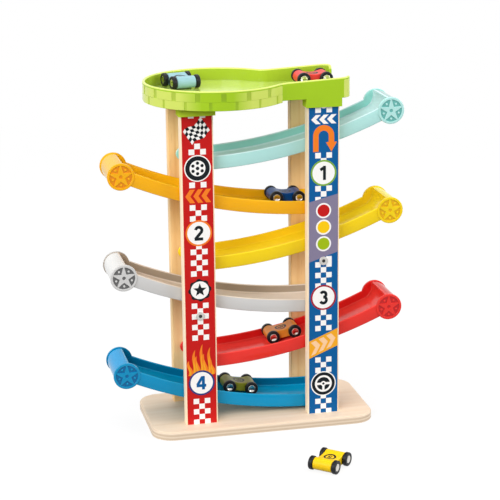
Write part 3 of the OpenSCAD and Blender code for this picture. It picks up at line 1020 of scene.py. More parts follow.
def add_disc(mould, place):
    mould.add(turned(disc_profile(), DISC_STEPS), disc_tone, place)
    mould.add(spun(star_profile, STAR_STEPS, STAR_TOP), disc_tone, place)
    for k in range(STAR_ARMS):
        a = math.radians(STAR_TOP + 180 + k * 360 / STAR_ARMS)
        dot_x = STAR_DOT_PLACE * math.cos(a)
        dot_y = STAR_DOT_PLACE * math.sin(a)
        dot = turned(dot_profile(), DOT_STEPS)
        mould.add(dot, FACE_TONE, lambda p: place((p[0] + dot_x, p[1] + dot_y, p[2])))


print("disc parts: rim, star and", STAR_ARMS, "dots")

# %% Drum axes and pegs
PEG_R = 3.0
PEG_DEPTH = 6.0
PEG_STEPS = 24
POST_INNER = 31.0


def box_mm(node):
    """A CAD node's lowest and highest corners, in millimetres."""
    low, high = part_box(node)
    return low / MM, high / MM


def drum_axis(node):
    """Where a track's drum axis lies, and which side of the tower it is on."""
    low, high = box_mm(node)
    side = 1 if high.x > -low.x else -1
    hub_x = high.x - DISC_R if side > 0 else low.x + DISC_R
    return side, Vector((hub_x, 0, high.z - DISC_R))


def peg(y):
    """A side peg, from the track's wall into its hole in the post."""
    outline = circle((0, 0), PEG_R, PEG_STEPS)
    return loft([[(x, y * reach, z) for x, z in outline] for reach in (WALL_MID, POST_INNER + PEG_DEPTH)])


print("pegs: radius", PEG_R, "mm")

# %% Cast the six tracks
PEG_UP = 2.2
POST_LOW, POST_HIGH = box_mm("post_front_right")
POST_X = (POST_LOW.x + POST_HIGH.x) / 2


def cast_track(pigment):
    node = f"track_{pigment}"
    side, hub = drum_axis(node)

    def place(p):
        return (hub.x - side * p[0], -side * p[1], hub.z + p[2])

    mould = Mould()
    for y in (-1, 1):
        mould.add(track_wall(y * WALL_MID), wall_tones(y), place)
    # The floor and its stop take the paler painted highlight, and the drum its tone painted for the light
    # on it.
    mould.add(track_floor(), FLOOR_AND_RIM_HIGHLIGHT_TONE, place)
    mould.add(drum_sheet(), DRUM_PAINTED_LIGHT_TONE, place)
    for y in (-1, 1):
        add_disc(mould, lambda p: place((y * p[0], -y * (DISC_INNER + p[2]), p[1])))
        for distance in (abs(hub.x) - POST_X, abs(hub.x) + POST_X):
            drop = ARC_UP - math.sqrt(FLOOR_R**2 - (distance - ARC_REACH) ** 2) + PEG_UP
            mould.add(peg(y), FACE_TONE, lambda p: place((p[0] + distance, p[1], p[2] + drop)))
    finishes = [plastics[pigment, tone] for tone in TONES]
    return mould.cast(f"{pigment}_track", "tower", f"{pigment}_plastic", finishes, [node])


tracks = [cast_track(pigment) for pigment in MOULDED]
print("tracks:", ", ".join(track.name for track in tracks))

# %% [markdown]
# ## The top deck
# The deck is a round bowl that runs into a straight channel, open at its far end, where the rim
# rounds down. Its wall is one sweep round the outline, with a rounded rim, and four sockets below
# grip the posts. Round the bowl the outside of the wall carries two courses of low brick-shaped
# blocks with short slots between them. They are real relief, half a millimetre, so that they show
# from any side.

# %% Deck outline
BOWL_R = 77.0
BOWL_X = -39.0
DECK_FILLET_R = 16.0
DECK_END_X = 98.25
DECK_END_R = 12.0
CHANNEL_HALF = 46.5
FILLET_Y = CHANNEL_HALF + DECK_FILLET_R
FILLET_X = BOWL_X + math.sqrt((BOWL_R + DECK_FILLET_R) ** 2 - FILLET_Y**2)
CORNER_STEPS = 24
CHANNEL_STEPS = 12
DECK_FILLET_STEPS = 10
BOWL_STEPS = 60


def arc_with_normals(centre, radius, start, end, steps, outward=1):
    return [
        (x, y, outward * (x - centre[0]) / radius, outward * (y - centre[1]) / radius)
        for x, y in arc(centre, radius, start, end, steps)
    ]


def deck_path():
    """The deck's outer edge from the front corner of the exit round to the back one."""
    corner = (DECK_END_X - DECK_END_R, DECK_END_R - CHANNEL_HALF)
    bowl_start = math.degrees(math.atan2(-FILLET_Y, FILLET_X - BOWL_X))
    front = arc_with_normals(corner, DECK_END_R, 0, -90, CORNER_STEPS)
    for k in range(1, CHANNEL_STEPS):
        front.append((corner[0] + (FILLET_X - corner[0]) * k / CHANNEL_STEPS, -CHANNEL_HALF, 0, -1))
    front += arc_with_normals(
        (FILLET_X, -FILLET_Y), DECK_FILLET_R, 90, 180 + bowl_start, DECK_FILLET_STEPS, outward=-1
    )
    front += arc_with_normals((BOWL_X, 0), BOWL_R, bowl_start, -180, BOWL_STEPS)[1:]
    back = [(x, -y, nx, -ny) for x, y, nx, ny in reversed(front[:-1])]
    return front + back


print("deck outline:", len(deck_path()), "points")

# %% [markdown]
# ### The deck's greens
# The deck's greens are painted for how light falls on each part of it. The channel's wall keeps the
# strong green, the rim and the rounded corner take a paler painted highlight, and the floor is
# glossy, with a coat, and painted paler for the reflection on it. The inner side of the wall and
# the slots between the bricks take painted shade, and the sockets' shaded sides are painted paler
# and matt, as painted light that lifts the shade under the bowl. The bowl's wall turns softly paler
# to either side, a painted highlight where it catches the light. A ring of separate tones would
# show steps, so the bricks and slots take their painted highlight from the direction in which they
# lie from the bowl's middle.

# %% Deck greens
HIGHLIGHT_TO_LEFT = (-22, -40)
HIGHLIGHT_TO_RIGHT = (2, 18)


def side_highlight_share(wire):
    """The share of painted highlight: 1 where the bowl's wall turns to either side, 0 at its front
    and back, and soft between.
    """
    point = place_on_piece(wire)
    across = wire.node("ShaderNodeSeparateXYZ", inputs={0: point}, output="X") - BOWL_X * MM
    deep = wire.math("ABSOLUTE", wire.node("ShaderNodeSeparateXYZ", inputs={0: point}, output="Y"), 0)
    turn = wire.math("ARCTAN2", across, deep)
    to_left, to_right = (
        fade(wire, turn, [math.radians(angle) for angle in reach], (0.0, 1.0))
        for reach in (HIGHLIGHT_TO_LEFT, HIGHLIGHT_TO_RIGHT)
    )
    return to_left + to_right


# face is the plain green; pale is a painted highlight; brick and slot turn to painted highlight at the
# sides, and slot and inside are painted shade; basin is painted paler for its reflection; socket is
# painted paler and matt against the shade.
DECK_GREENS = {
    "face": {"colour": ink_colour(160, 198, 28)},
    "pale": {"colour": ink_colour(208, 222, 108)},
    "brick": {
        "colour": ink_colour(160, 198, 28), "pale": ink_colour(204, 219, 98), "highlight_share": side_highlight_share,
    },
    "slot": {
        "colour": ink_colour(150, 186, 30), "pale": ink_colour(180, 202, 70), "highlight_share": side_highlight_share,
    },
    "inside": {"colour": ink_colour(156, 182, 46)},
    "basin": {"colour": ink_colour(194, 214, 104), "coat": 1.0, "coat_index": 1.7},
    "socket": {"colour": ink_colour(200, 228, 60), "shine": 0.0},
}
FACE, RIM_AND_CORNER_HIGHLIGHT, BRICK, SLOT_SHADE, INSIDE_SHADE, BASIN_REFLECTION, SOCKET_PAINTED_LIGHT = range(len(DECK_GREENS))
deck_greens = [plastic(f"green_plastic_{tone}", **green) for tone, green in DECK_GREENS.items()]
print("deck greens:", ", ".join(DECK_GREENS))

# %% Deck wall section
DECK_WALL = 3.0
DECK_FLOOR_T = 2.5
DECK_RIM = 13.5
DECK_RISE = 3.5
CHANNEL_SKIRT = 2.5
BOWL_SKIRT = 4.5
POST_TOP = box_mm("post_front_left")[1].z
DECK_FLOOR_Z = POST_TOP + DECK_FLOOR_T
RIM_Z = DECK_FLOOR_Z + DECK_RIM
ROUND_END_X = BOWL_X + math.sqrt(BOWL_R**2 - CHANNEL_HALF**2)
BRICK_RELIEF = 0.5
RIM_ROUND = 1.3
RIM_ARC_STEPS = 4
RIM_BAND = 1.2
FOOT_EDGE = 0.4
END_ROUND = 4.5
CORNER_HIGHLIGHT_TURN = 0.3


def end_drop(nx, ny):
    """How far the rim rounds down at the wall's end, beside the exit."""
    along = DECK_END_R * math.atan2(abs(ny), nx)
    return END_ROUND - math.sqrt(END_ROUND**2 - max(0, END_ROUND - along) ** 2)


def deck_wall_ring(x, y, nx, ny):
    """The wall's cross-section at one place of the outline, rim rounded."""
    bricked = x < ROUND_END_X
    low = POST_TOP - (BOWL_SKIRT if bricked else CHANNEL_SKIRT)
    rise = max(0, (x - ROUND_END_X) / (DECK_END_X - ROUND_END_X))
    high = RIM_Z + DECK_RISE * rise
    if x > DECK_END_X - DECK_END_R:
        high -= end_drop(nx, ny)
    out = -BRICK_RELIEF if bricked else 0
    middle = high - RIM_ROUND
    section = [(out, low + FOOT_EDGE), (out, middle - RIM_BAND)]
    section += arc((-RIM_ROUND, middle), RIM_ROUND, 0, 90, RIM_ARC_STEPS)
    section += arc((RIM_ROUND - DECK_WALL, middle), RIM_ROUND, 90, 180, RIM_ARC_STEPS)
    section += [(-DECK_WALL, low), (out - FOOT_EDGE, low)]
    return [(x + nx * n, y + ny * n, z) for n, z in section]


def deck_wall_tones(x, y, nx, ny):
    """The tones round that cross-section: outside, band, rim with a painted highlight, inside with
    painted shade, lower edge. Outside, the bowl shows the slots' painted shade, and the rounded
    corner at the exit a painted highlight.
    """
    outside = FACE
    if x < ROUND_END_X:
        outside = SLOT_SHADE
    elif nx > CORNER_HIGHLIGHT_TURN and x > DECK_END_X - DECK_END_R:
        outside = RIM_AND_CORNER_HIGHLIGHT
    return [outside, FACE] + [RIM_AND_CORNER_HIGHLIGHT] * (2 * RIM_ARC_STEPS + 1) + [INSIDE_SHADE, FACE, FACE]


print("deck wall: rim at", round(RIM_Z, 1), "mm")

# %% Deck wall and floor
STEP_NUDGE = 0.002


def deck_floor_outline():
    inset = DECK_WALL / 2
    exit_half = CHANNEL_HALF - DECK_END_R
    outline = [(x - nx * inset, y - ny * inset) for x, y, nx, ny in deck_path()]
    return [(DECK_END_X, -exit_half)] + outline + [(DECK_END_X, exit_half)]


def with_step(path):
    """Doubles the outline where the bowl's wall gives way to the channel's, for a clean step."""
    stepped = []
    for here, after in zip(path, path[1:]):
        stepped.append(here)
        if (here[0] - ROUND_END_X) * (after[0] - ROUND_END_X) < 0:
            share = (ROUND_END_X - here[0]) / (after[0] - here[0])
            stepped += [between(here, after, share + nudge) for nudge in (-STEP_NUDGE, STEP_NUDGE)]
    return stepped + [path[-1]]


deck = Mould()
stations = with_step(deck_path())
wall_finish = [tone for station in stations[:-1] for tone in deck_wall_tones(*station)]
deck.add(loft([deck_wall_ring(*station) for station in stations]), wall_finish)
# The floor's green is painted paler for the reflection on it, on top of its coat's real one.
deck.add(plate(deck_floor_outline(), POST_TOP, DECK_FLOOR_Z), BASIN_REFLECTION)
print("deck wall and floor:", len(deck.faces), "faces")

# %% Deck sockets
SOCKET_WALL = 1.6
SOCKET_CLEAR = 0.2
SOCKET_DEPTHS = {-1: 14.0, 1: 11.5}
SLEEVE_SLOT = 4.65
FLUSH_GAP = 0.03
POST_HALF_W = (POST_HIGH.x - POST_LOW.x) / 2


def socket_outline():
    """The four walls that grip a post's top, seen from above, with a slot for the spacer sleeve."""
    inner_w = POST_HALF_W + SOCKET_CLEAR
    outer_w = inner_w + SOCKET_WALL
    front = CHANNEL_HALF - FLUSH_GAP
    inner_y = POST_INNER - SOCKET_CLEAR
    back = inner_y - SOCKET_WALL
    inner = [(SLEEVE_SLOT, inner_y), (inner_w, inner_y), (inner_w, front - SOCKET_WALL)]
    outer = [(outer_w, front), (outer_w, back), (SLEEVE_SLOT, back)]
    inner_mirrored, outer_mirrored = ([(-x, y) for x, y in reversed(half)] for half in (inner, outer))
    return inner + inner_mirrored + outer_mirrored + outer


def socket_tone(points):
    """The outer face matches the channel's wall; the shaded sides are painted paler and matt, as
    painted light that lifts their shade.
    """
    return FACE if min(p[1] for p in points) > CHANNEL_HALF - SOCKET_WALL else SOCKET_PAINTED_LIGHT


def add_socket(x, y):
    skin = plate(socket_outline(), POST_TOP - SOCKET_DEPTHS[x], POST_TOP + DECK_FLOOR_T / 2)
    # The left sockets, deep under the bowl, are painted paler all round: painted light against shade.
    tone = socket_tone if x > 0 else SOCKET_PAINTED_LIGHT
    deck.add(skin, tone, lambda p: (x * POST_X + p[0], y * p[1], p[2]))


for socket_x in (-1, 1):
    for socket_y in (-1, 1):
        add_socket(socket_x, socket_y)
print("sockets: 4, each with", len(socket_outline()), "corners")

# %% Deck bricks
BRICK_TURN = 20
BRICK_STEP = BOWL_R * math.radians(BRICK_TURN)
BRICK_ROOT = 0.3
BRICK_RINGS = 8
BRICK_COURSES = [
    {"low": 0.4, "high": 9.1, "slot": 3.0, "phase": 0.25},
    {"low": 9.3, "high": 18.0, "slot": 5.2, "phase": 0.75},
]


def outline_lengths(path):
    """The distance along the outline to each of its points."""
    lengths = [0]
    for here, after in zip(path, path[1:]):
        lengths.append(lengths[-1] + math.dist(here[:2], after[:2]))
    return lengths


def at_length(path, lengths, wanted):
    """The place and normal at a distance along the outline."""
    k = max(i for i, length in enumerate(lengths[:-1]) if length <= wanted)
    return between(path[k], path[k + 1], (wanted - lengths[k]) / (lengths[k + 1] - lengths[k]))


def add_brick(path, lengths, start, end, low, high):
    """One low block on the bowl's wall, following its curve."""
    buried = -BRICK_RELIEF - BRICK_ROOT
    section = [(buried, low), (0, low), (0, high), (buried, high)]
    rings = []
    for k in range(BRICK_RINGS + 1):
        x, y, nx, ny = at_length(path, lengths, start + (end - start) * k / BRICK_RINGS)
        rings.append([(x + nx * n, y + ny * n, z) for n, z in section])
    # The bricks' green turns paler to either side of the bowl: painted highlight.
    deck.add(loft(rings), BRICK)


def lay_course(path, foot, low, high, slot, phase):
    """One row of bricks round the bowl, with a short slot between each two."""
    lengths = outline_lengths(path)
    half_round = int(lengths[-1] / BRICK_STEP / 2) + 1
    for k in range(-half_round, half_round + 1):
        slot_at = lengths[-1] / 2 + (k + phase) * BRICK_STEP
        start = max(slot_at + slot / 2, 0)
        end = min(slot_at + BRICK_STEP - slot / 2, lengths[-1])
        if end - start > slot / 2:
            add_brick(path, lengths, start, end, foot + low, foot + high)


bowl_path = [station for station in stations if station[0] < ROUND_END_X]
for course in BRICK_COURSES:
    lay_course(bowl_path, POST_TOP - BOWL_SKIRT, **course)
top_deck = deck.cast("deck_moulding", "tower", "green_plastic", deck_greens, ["top_deck"])
print("deck:", len(top_deck.data.polygons), "faces")

# %% [markdown]
# ## Bolts and nuts
# A flat-headed bolt with a hexagon socket shows on each label, twice, and its flanged nut shows
# behind. The shanks run hidden through the sleeves. They are small, so a turned profile with a
# rounded edge is enough; only the socket's radius follows a hexagon as the profile turns.

# %% Bolts
BOLT_R = 2.5
BOLT_HEAD_R = 4.75
BOLT_HEAD_T = 1.1
BOLT_SHORT = 1.0
HEAD_ROUND = 0.4
HEAD_ROUND_STEPS = 3
HEX_R = 2.0
HEX_DEPTH = 0.7
HEX_EDGE = 0.15
HEX_EDGE_DOWN = 0.12
HEX_SLACK = 0.01
LABEL_FACE = -box_mm("label_red")[0].y
POST_OUTER = box_mm("post_back_left")[1].y
BOLT_LENGTH = POST_OUTER - BOLT_SHORT + LABEL_FACE + BOLT_HEAD_T


def hexagon_radius(angle):
    """The edge of a hexagon in a direction."""
    turn = math.radians((angle % 60) - 30)
    return HEX_R * math.cos(math.radians(30)) / math.cos(turn)


def bolt_profile(angle):
    """A bolt along +Z in one direction, its head's outer face at 0."""
    socket = hexagon_radius(angle)
    return [
        (0, HEX_DEPTH), (socket, HEX_DEPTH), (socket, HEX_EDGE_DOWN), (socket + HEX_EDGE, 0),
        *arc((BOLT_HEAD_R - HEAD_ROUND, HEAD_ROUND), HEAD_ROUND, -90, 0, HEAD_ROUND_STEPS),
        (BOLT_HEAD_R, BOLT_HEAD_T), (BOLT_R, BOLT_HEAD_T), (BOLT_R, BOLT_LENGTH), (0, BOLT_LENGTH),
    ]


def is_hexagon(points):
    """The inside of the hexagon socket takes the darker steel: painted shade in the recess."""
    inside = max(math.hypot(p[0], p[1]) for p in points) <= HEX_R + HEX_SLACK
    return 1 if inside and max(p[2] for p in points) <= HEX_DEPTH + HEX_SLACK else 0


print("bolt:", round(BOLT_LENGTH, 1), "mm long")

# %% Nuts
NUT_BARREL_R = 3.5
NUT_BARREL_L = 8.0
NUT_BORE_GAP = 0.05
NUT_FLOOR = 0.5
NUT_DIMPLE_R = 1.2
NUT_DIMPLE = 0.3


def nut_profile():
    """A flanged nut along -Z, its flange's outer face at 0, closed behind."""
    bore = BOLT_R + NUT_BORE_GAP
    closed_at = -BOLT_HEAD_T - NUT_FLOOR
    barrel_end = -BOLT_HEAD_T - NUT_BARREL_L
    return [
        (0, closed_at), (bore, closed_at), (bore, barrel_end), (NUT_BARREL_R, barrel_end),
        (NUT_BARREL_R, -BOLT_HEAD_T), (BOLT_HEAD_R, -BOLT_HEAD_T),
        *arc((BOLT_HEAD_R - HEAD_ROUND, -HEAD_ROUND), HEAD_ROUND, 0, 90, HEAD_ROUND_STEPS),
        (NUT_DIMPLE_R, 0), (0, -NUT_DIMPLE),
    ]


print("nut:", NUT_BARREL_L + BOLT_HEAD_T, "mm long")

# %% Cast the bolts and nuts
TURNED_STEPS = 36
TIE_BELOW_TOP = 8.5
TIE_LOWER = {-1: 131.5, 1: 183.0}
front = -LABEL_FACE - BOLT_HEAD_T
back = POST_OUTER + BOLT_HEAD_T
bolt = spun(bolt_profile, TURNED_STEPS)
nut = turned(nut_profile(), TURNED_STEPS)
bolts = Mould()
nuts = Mould()
for tie_side, lower in TIE_LOWER.items():
    for tie_z in (lower, POST_TOP - TIE_BELOW_TOP):
        bolts.add(bolt, is_hexagon, lambda p: (tie_side * POST_X + p[0], front + p[2], tie_z + p[1]))
        nuts.add(nut, 0, lambda p: (tie_side * POST_X + p[0], back + p[2], tie_z + p[1]))
bolts.cast("label_bolts", "tower", "steel", [steel, hex_shade_steel], ["tie_bolts"])
nuts.cast("back_nuts", "tower", "steel", [steel], ["tie_nuts"])
print("bolts and nuts:", 2 * len(TIE_LOWER), "of each")

# %% [markdown]
# ## The printed labels
# The front posts carry a red and a blue printed strip with racing patterns: chequers, chevrons,
# numbered roundels and signal lights. The pictures between them are plain drawings made for this
# toy: a chequered flag, a spoked wheel, a star, flames, a turning arrow and a steering wheel.
# Each ink is a very thin plate on the strip, a few hundredths of a millimetre thick, stacked in
# the order of printing. A painted texture would blur close up, and this stays sharp.

# %% Numerals
NUMERAL_WEIGHT = 0.21
NUMERAL_STROKES = {
    "1": [[(0.06, 0.5), (0.06, -0.5)], [(-0.24, 0.22), (0.1, 0.42)]],
    "2": [arc((0, 0.2), 0.22, 170, -30, 12) + [(-0.25, -0.42)], [(-0.3, -0.42), (0.3, -0.42)]],
    "3": [arc((-0.01, 0.21), 0.2, 155, -90, 12), arc((-0.01, -0.19), 0.23, 90, -155, 12)],
    "4": [[(0.12, 0.5), (0.12, -0.5)], [(0.06, 0.46), (-0.3, -0.14)], [(-0.37, -0.2), (0.32, -0.2)]],
    "5": [
        [(0.26, 0.42), (-0.24, 0.42)],
        [(-0.2, 0.44), (-0.24, 0.0)],
        arc((-0.02, -0.16), 0.25, 125, -150, 12),
    ],
    "6": [arc((0, -0.18), 0.24, 0, 360, 18), arc((0.2, -0.14), 0.46, 105, 185, 8)],
    "7": [[(-0.28, 0.42), (0.3, 0.42)], [(0.22, 0.4), (-0.08, -0.5)]],
    "8": [arc((0, 0.22), 0.2, 0, 360, 16), arc((0, -0.2), 0.23, 0, 360, 16)],
    "9": [arc((0, 0.18), 0.24, 0, 360, 18), arc((-0.2, 0.14), 0.46, -75, 5, 8)],
}


def ribbon(line, width):
    """The outline of a broad pen stroke along a line of points."""
    sides = {1: [], -1: []}
    for k, (x, y) in enumerate(line):
        x0, y0 = line[max(k - 1, 0)]
        x1, y1 = line[min(k + 1, len(line) - 1)]
        reach = width / 2 / math.hypot(x1 - x0, y1 - y0)
        for side, points in sides.items():
            points.append((x - side * reach * (y1 - y0), y + side * reach * (x1 - x0)))
    return sides[1] + sides[-1][::-1]


def numeral(figure, height):
    """A plain upright numeral of the height asked for, as one outline for each stroke."""
    strokes = NUMERAL_STROKES[figure]
    return [[(x * height, y * height) for x, y in ribbon(line, NUMERAL_WEIGHT)] for line in strokes]


print("numerals:", ", ".join(NUMERAL_STROKES))

# %% Label
INK_T = 0.03
INK_ROOT = 0.5
PRINT_DISC_STEPS = 48


class Label(Mould):
    """A printed strip: shapes are given across and up the strip, in millimetres."""

    def __init__(self, side):
        super().__init__()
        self.side = side

    def shape(self, outline, ink, layer=0):
        """One flat shape of ink, on the layers that were printed before it."""

        def on_strip(p):
            return (self.side * POST_X + p[0], -LABEL_FACE - INK_T * (layer + p[2]), p[1])

        self.add(plate(outline, -INK_ROOT, 1), INK_ORDER.index(ink), on_strip)

    def disc(self, height, radius, ink, layer=1):
        self.shape(circle((0, height), radius, PRINT_DISC_STEPS), ink, layer)


print("label ready: inks of", INK_T, "mm")

# %% Chequers, roundels and chevrons
CHECK_W = 6.1
CHECK_H = 5.95
CHECK_COLUMNS = {"1": (0,), "2": (-1, 1), "L": (-1,), "R": (1,)}
CHEVRON_STEP = 8.6
CHEVRON_LEAN = 5.0
CHEVRON_W = 5.4
ROUNDEL_R = 14.2
ROUNDEL_FIELD_R = 12.3
ROUNDEL_FIGURE = 15.3
LABEL_BOTTOM = box_mm("label_red")[0].z


def chequers(label, stacks):
    """Stacks of white squares, from the middle of each top row down: two outside or one inside."""
    for top, rows in stacks.items():
        for k, row in enumerate(rows):
            low = max(top - (k + 0.5) * CHECK_H, LABEL_BOTTOM)
            high = top - (k - 0.5) * CHECK_H
            for column in CHECK_COLUMNS[row]:
                left = (column - 0.5) * CHECK_W
                right = left + CHECK_W
                label.shape([(left, low), (right, low), (right, high), (left, high)], "white")


def roundel(label, figure, height, ring, figure_ink="black", layer=1):
    """A ring with a number in its white field."""
    label.disc(height, ROUNDEL_R, ring, layer)
    label.disc(height, ROUNDEL_FIELD_R, "white", layer + 1)
    for k, outline in enumerate(numeral(figure, ROUNDEL_FIGURE)):
        label.shape([(x, y + height) for x, y in outline], figure_ink, layer + 2 + k)


def chevrons(label, height, ink, tall, heading=-1, slope=0.0, layer=1):
    """Three arrow heads in a row, pointing left or right, on a strip that may slope."""
    for k in (-1, 0, 1):
        wing = k * CHEVRON_STEP
        tip = wing - CHEVRON_LEAN
        outline = [
            (tip, 0), (wing, tall / 2), (wing + CHEVRON_W, tall / 2),
            (tip + CHEVRON_W, 0), (wing + CHEVRON_W, -tall / 2), (wing, -tall / 2),
        ]
        turned_row = [(-heading * x, y) for x, y in outline]
        label.shape([(x, height + y + slope * x) for x, y in turned_row], ink, layer)


print("patterns: chequers, roundels, chevrons")

# %% [markdown]
# ### Small pictures
# A printed picture could come from an image file. Here each one is a function that prints on a
# label at a height, so that it can be moved and its edges stay sharp. Outlines with spikes, such
# as the badge's teeth and its star, run through a short list of radii again and again.

# %% Flag
FLAG_COLUMNS = 7
FLAG_ROWS = 5
FLAG_CHECK = 3.4
FLAG_WAVE = 1.5
FLAG_WAVE_TURN = 1.15
FLAG_TILT = math.radians(34)


def flag(label, height):
    """A waving chequered flag: a slanted grid of squares, every other one black."""
    c = math.cos(FLAG_TILT)
    s = math.sin(FLAG_TILT)

    def corner(i, j):
        u = (i - FLAG_COLUMNS / 2) * FLAG_CHECK
        v = (j - FLAG_ROWS / 2) * FLAG_CHECK + FLAG_WAVE * math.sin(i * FLAG_WAVE_TURN)
        return (u * c - v * s, height + u * s + v * c)

    for i in range(FLAG_COLUMNS):
        for j in range(FLAG_ROWS):
            ink = "black" if (i + j) % 2 else "white"
            label.shape([corner(i, j), corner(i + 1, j), corner(i + 1, j + 1), corner(i, j + 1)], ink, 1)


print("flag:", FLAG_COLUMNS * FLAG_ROWS, "squares")

# %% Wheel and star
TYRE_R = 13.0
TYRE_RIM_R = 8.4
TYRE_HUB_R = 1.9
WINDOWS_R = 5.6
WINDOW_R = 1.75
WINDOW_STEPS = 18
BADGE_TEETH = (12.6, 12.6, 11.2, 11.2)
BADGE_STEPS = 32
BADGE_FIELD_R = 9.8
BADGE_STAR = (7.6, 3.2)
BADGE_STAR_STEPS = 10


def spoked_wheel(label, height):
    """A tyre and a rim with six round windows."""
    label.disc(height, ROUNDEL_R, "white")
    label.disc(height, TYRE_R, "black", 2)
    label.disc(height, TYRE_RIM_R, "white", 3)
    for window in arc((0, height), WINDOWS_R, 30, 330, 5):
        label.shape(circle(window, WINDOW_R, WINDOW_STEPS), "black", 4)
    label.disc(height, TYRE_HUB_R, "black", 4)


def spiked(height, radii, steps, start=0):
    """An outline round a point of the strip whose radius runs through a list again and again."""
    points = []
    for k in range(steps):
        turn = math.radians(start + 360 * k / steps)
        radius = radii[k % len(radii)]
        points.append((radius * math.cos(turn), height + radius * math.sin(turn)))
    return points


def star_badge(label, height):
    """A toothed ring round a plain star."""
    label.shape(spiked(height, BADGE_TEETH, BADGE_STEPS), "black", 1)
    label.disc(height, BADGE_FIELD_R, "white", 2)
    label.shape(spiked(height, BADGE_STAR, BADGE_STAR_STEPS, start=90), "black", 3)


print("wheel and star: badge of", BADGE_STEPS // len(BADGE_TEETH), "teeth")

# %% Flames
FLAME_STEPS = 14
FLAME_STEP = 4.1
FLAME_HEIGHTS = (17, 29, 22, 35, 24, 31, 16)
FLAME_LEANS = (-1.2, 1.6)
FLAME_W = 4.4
FLAME_SWAY = 0.3
FLAME_BELLY = 0.9
FLAME_POINT = 0.7
HEART_W = 2.0
HEART_SHARE = 0.7


def flame(label, x, foot, width, tall, lean, ink, layer):
    """One slender tongue of flame that sways and ends in a point."""
    edges = {-1: [], 1: []}
    for side, points in edges.items():
        for k in range(FLAME_STEPS + 1):
            t = k / FLAME_STEPS
            sway = lean * t + FLAME_SWAY * width * math.sin(2 * math.pi * t)
            belly = width / 2 * (1 - t) ** FLAME_POINT * (1 + FLAME_BELLY * t)
            points.append((x + sway + side * belly, foot + tall * t))
    label.shape(edges[1] + edges[-1][-2::-1], ink, layer)


def flames(label, foot):
    """Seven tongues, each with a paler heart."""
    for k, tall in enumerate(FLAME_HEIGHTS):
        x = (k - len(FLAME_HEIGHTS) // 2) * FLAME_STEP
        lean = FLAME_LEANS[k % 2]
        flame(label, x, foot, FLAME_W, tall, lean, "orange", 1 + 2 * k)
        flame(label, x, foot, HEART_W, tall * HEART_SHARE, lean * HEART_SHARE, "amber", 2 + 2 * k)


print("flames:", len(FLAME_HEIGHTS), "tongues")

# %% Turning arrow
ARROW_OUTER = 11.5
ARROW_INNER = 5.5
ARROW_BARB = 3.1
ARROW_BEND = 4.0
ARROW_NECK = 3.0
ARROW_TIP = 13.5
ARROW_TAIL = 13.0
ARROW_STEPS = 18


def turning_arrow(label, height):
    """A broad arrow that turns back on itself."""
    bend = (0, height + ARROW_BEND)
    neck = height - ARROW_NECK
    tail = height - ARROW_TAIL
    outer = arc(bend, ARROW_OUTER, 180, 0, ARROW_STEPS)
    inner = arc(bend, ARROW_INNER, 0, 180, ARROW_STEPS)
    head = [
        (ARROW_OUTER, neck), (ARROW_OUTER + ARROW_BARB, neck),
        ((ARROW_OUTER + ARROW_INNER) / 2, height - ARROW_TIP),
        (ARROW_INNER - ARROW_BARB, neck), (ARROW_INNER, neck),
    ]
    label.shape(outer + head + inner + [(-ARROW_INNER, tail), (-ARROW_OUTER, tail)], "orange", 1)


print("turning arrow:", 2 * ARROW_OUTER, "mm wide at its bend")

# %% Steering wheel
STEERING_DISCS = {
    1: (ROUNDEL_R, "white"),
    2: (TYRE_R, "black"),
    3: (9.6, "white"),
    4: (7.4, "black"),
    6: (2.9, "white"),
    7: (1.3, "black"),
}
SPOKE_LAYER = 5
SPOKE_R = 8.4
SPOKE_W = 2.6
SPOKE_TURNS = (180, 0, 270)


def steering_wheel(label, height):
    """A white ring with three spokes on a black disc."""
    for layer, (radius, ink) in STEERING_DISCS.items():
        label.disc(height, radius, ink, layer)
    for turn in SPOKE_TURNS:
        a = math.radians(turn)
        end = (SPOKE_R * math.cos(a), height + SPOKE_R * math.sin(a))
        label.shape(ribbon([end, (0, height)], SPOKE_W), "white", SPOKE_LAYER)


print("steering wheel:", len(SPOKE_TURNS), "spokes")

# %% Red label
RED_CHECKS = {
    349.0: "2",
    316.3: "12",
    275.2: "2",
    250.9: "212",
    208.6: "121212",
    143.1: "2121212",
    35.2: "21212",
}
OVER_FLAMES = 16
red_label = Label(-1)
chequers(red_label, RED_CHECKS)
flag(red_label, height=332.0)
spoked_wheel(red_label, height=292.9)
chevrons(red_label, height=263.2, ink="orange", tall=14.5)
roundel(red_label, "2", height=223.1, ring="orange")
star_badge(red_label, height=160.4)
flames(red_label, foot=65.0)
roundel(red_label, "4", height=56.2, ring="navy", figure_ink="blue", layer=OVER_FLAMES)
red_label.cast("red_label_print", "tower", "red_print", [inks[ink] for ink in INK_ORDER])
print("red label:", len(red_label.faces), "faces")

# %% Blue label
BLUE_CHECKS = {
    347.7: "2",
    298.9: "21",
    262.9: "21L",
    184.8: "R21212",
    124.7: "1212",
    70.7: "212",
    28.6: "1212",
}
LIGHTS = {"red": 238.6, "yellow": 220.4, "lime": 202.0}
LIGHT_R = 6.7
LIGHT_RING_R = 8.4
LABEL_HALF = 16.0
BAND_Z = 89.2
BAND_HALF = 9.9
BAND_SLOPE = 0.41
BAND_EDGES = [
    (BAND_Z + BAND_SLOPE * x - BAND_HALF, BAND_Z + BAND_SLOPE * x + BAND_HALF)
    for x in (-LABEL_HALF, LABEL_HALF)
]
PANEL_EDGES = [(182.0, 248.5), (192.4, 256.4)]


def field(label, left, right, ink):
    """A field over the whole strip, from its lower and upper ends at the left and right edge."""
    lower = [(-LABEL_HALF, left[0]), (LABEL_HALF, right[0])]
    upper = [(LABEL_HALF, right[1]), (-LABEL_HALF, left[1])]
    label.shape(lower + upper, ink, 1)


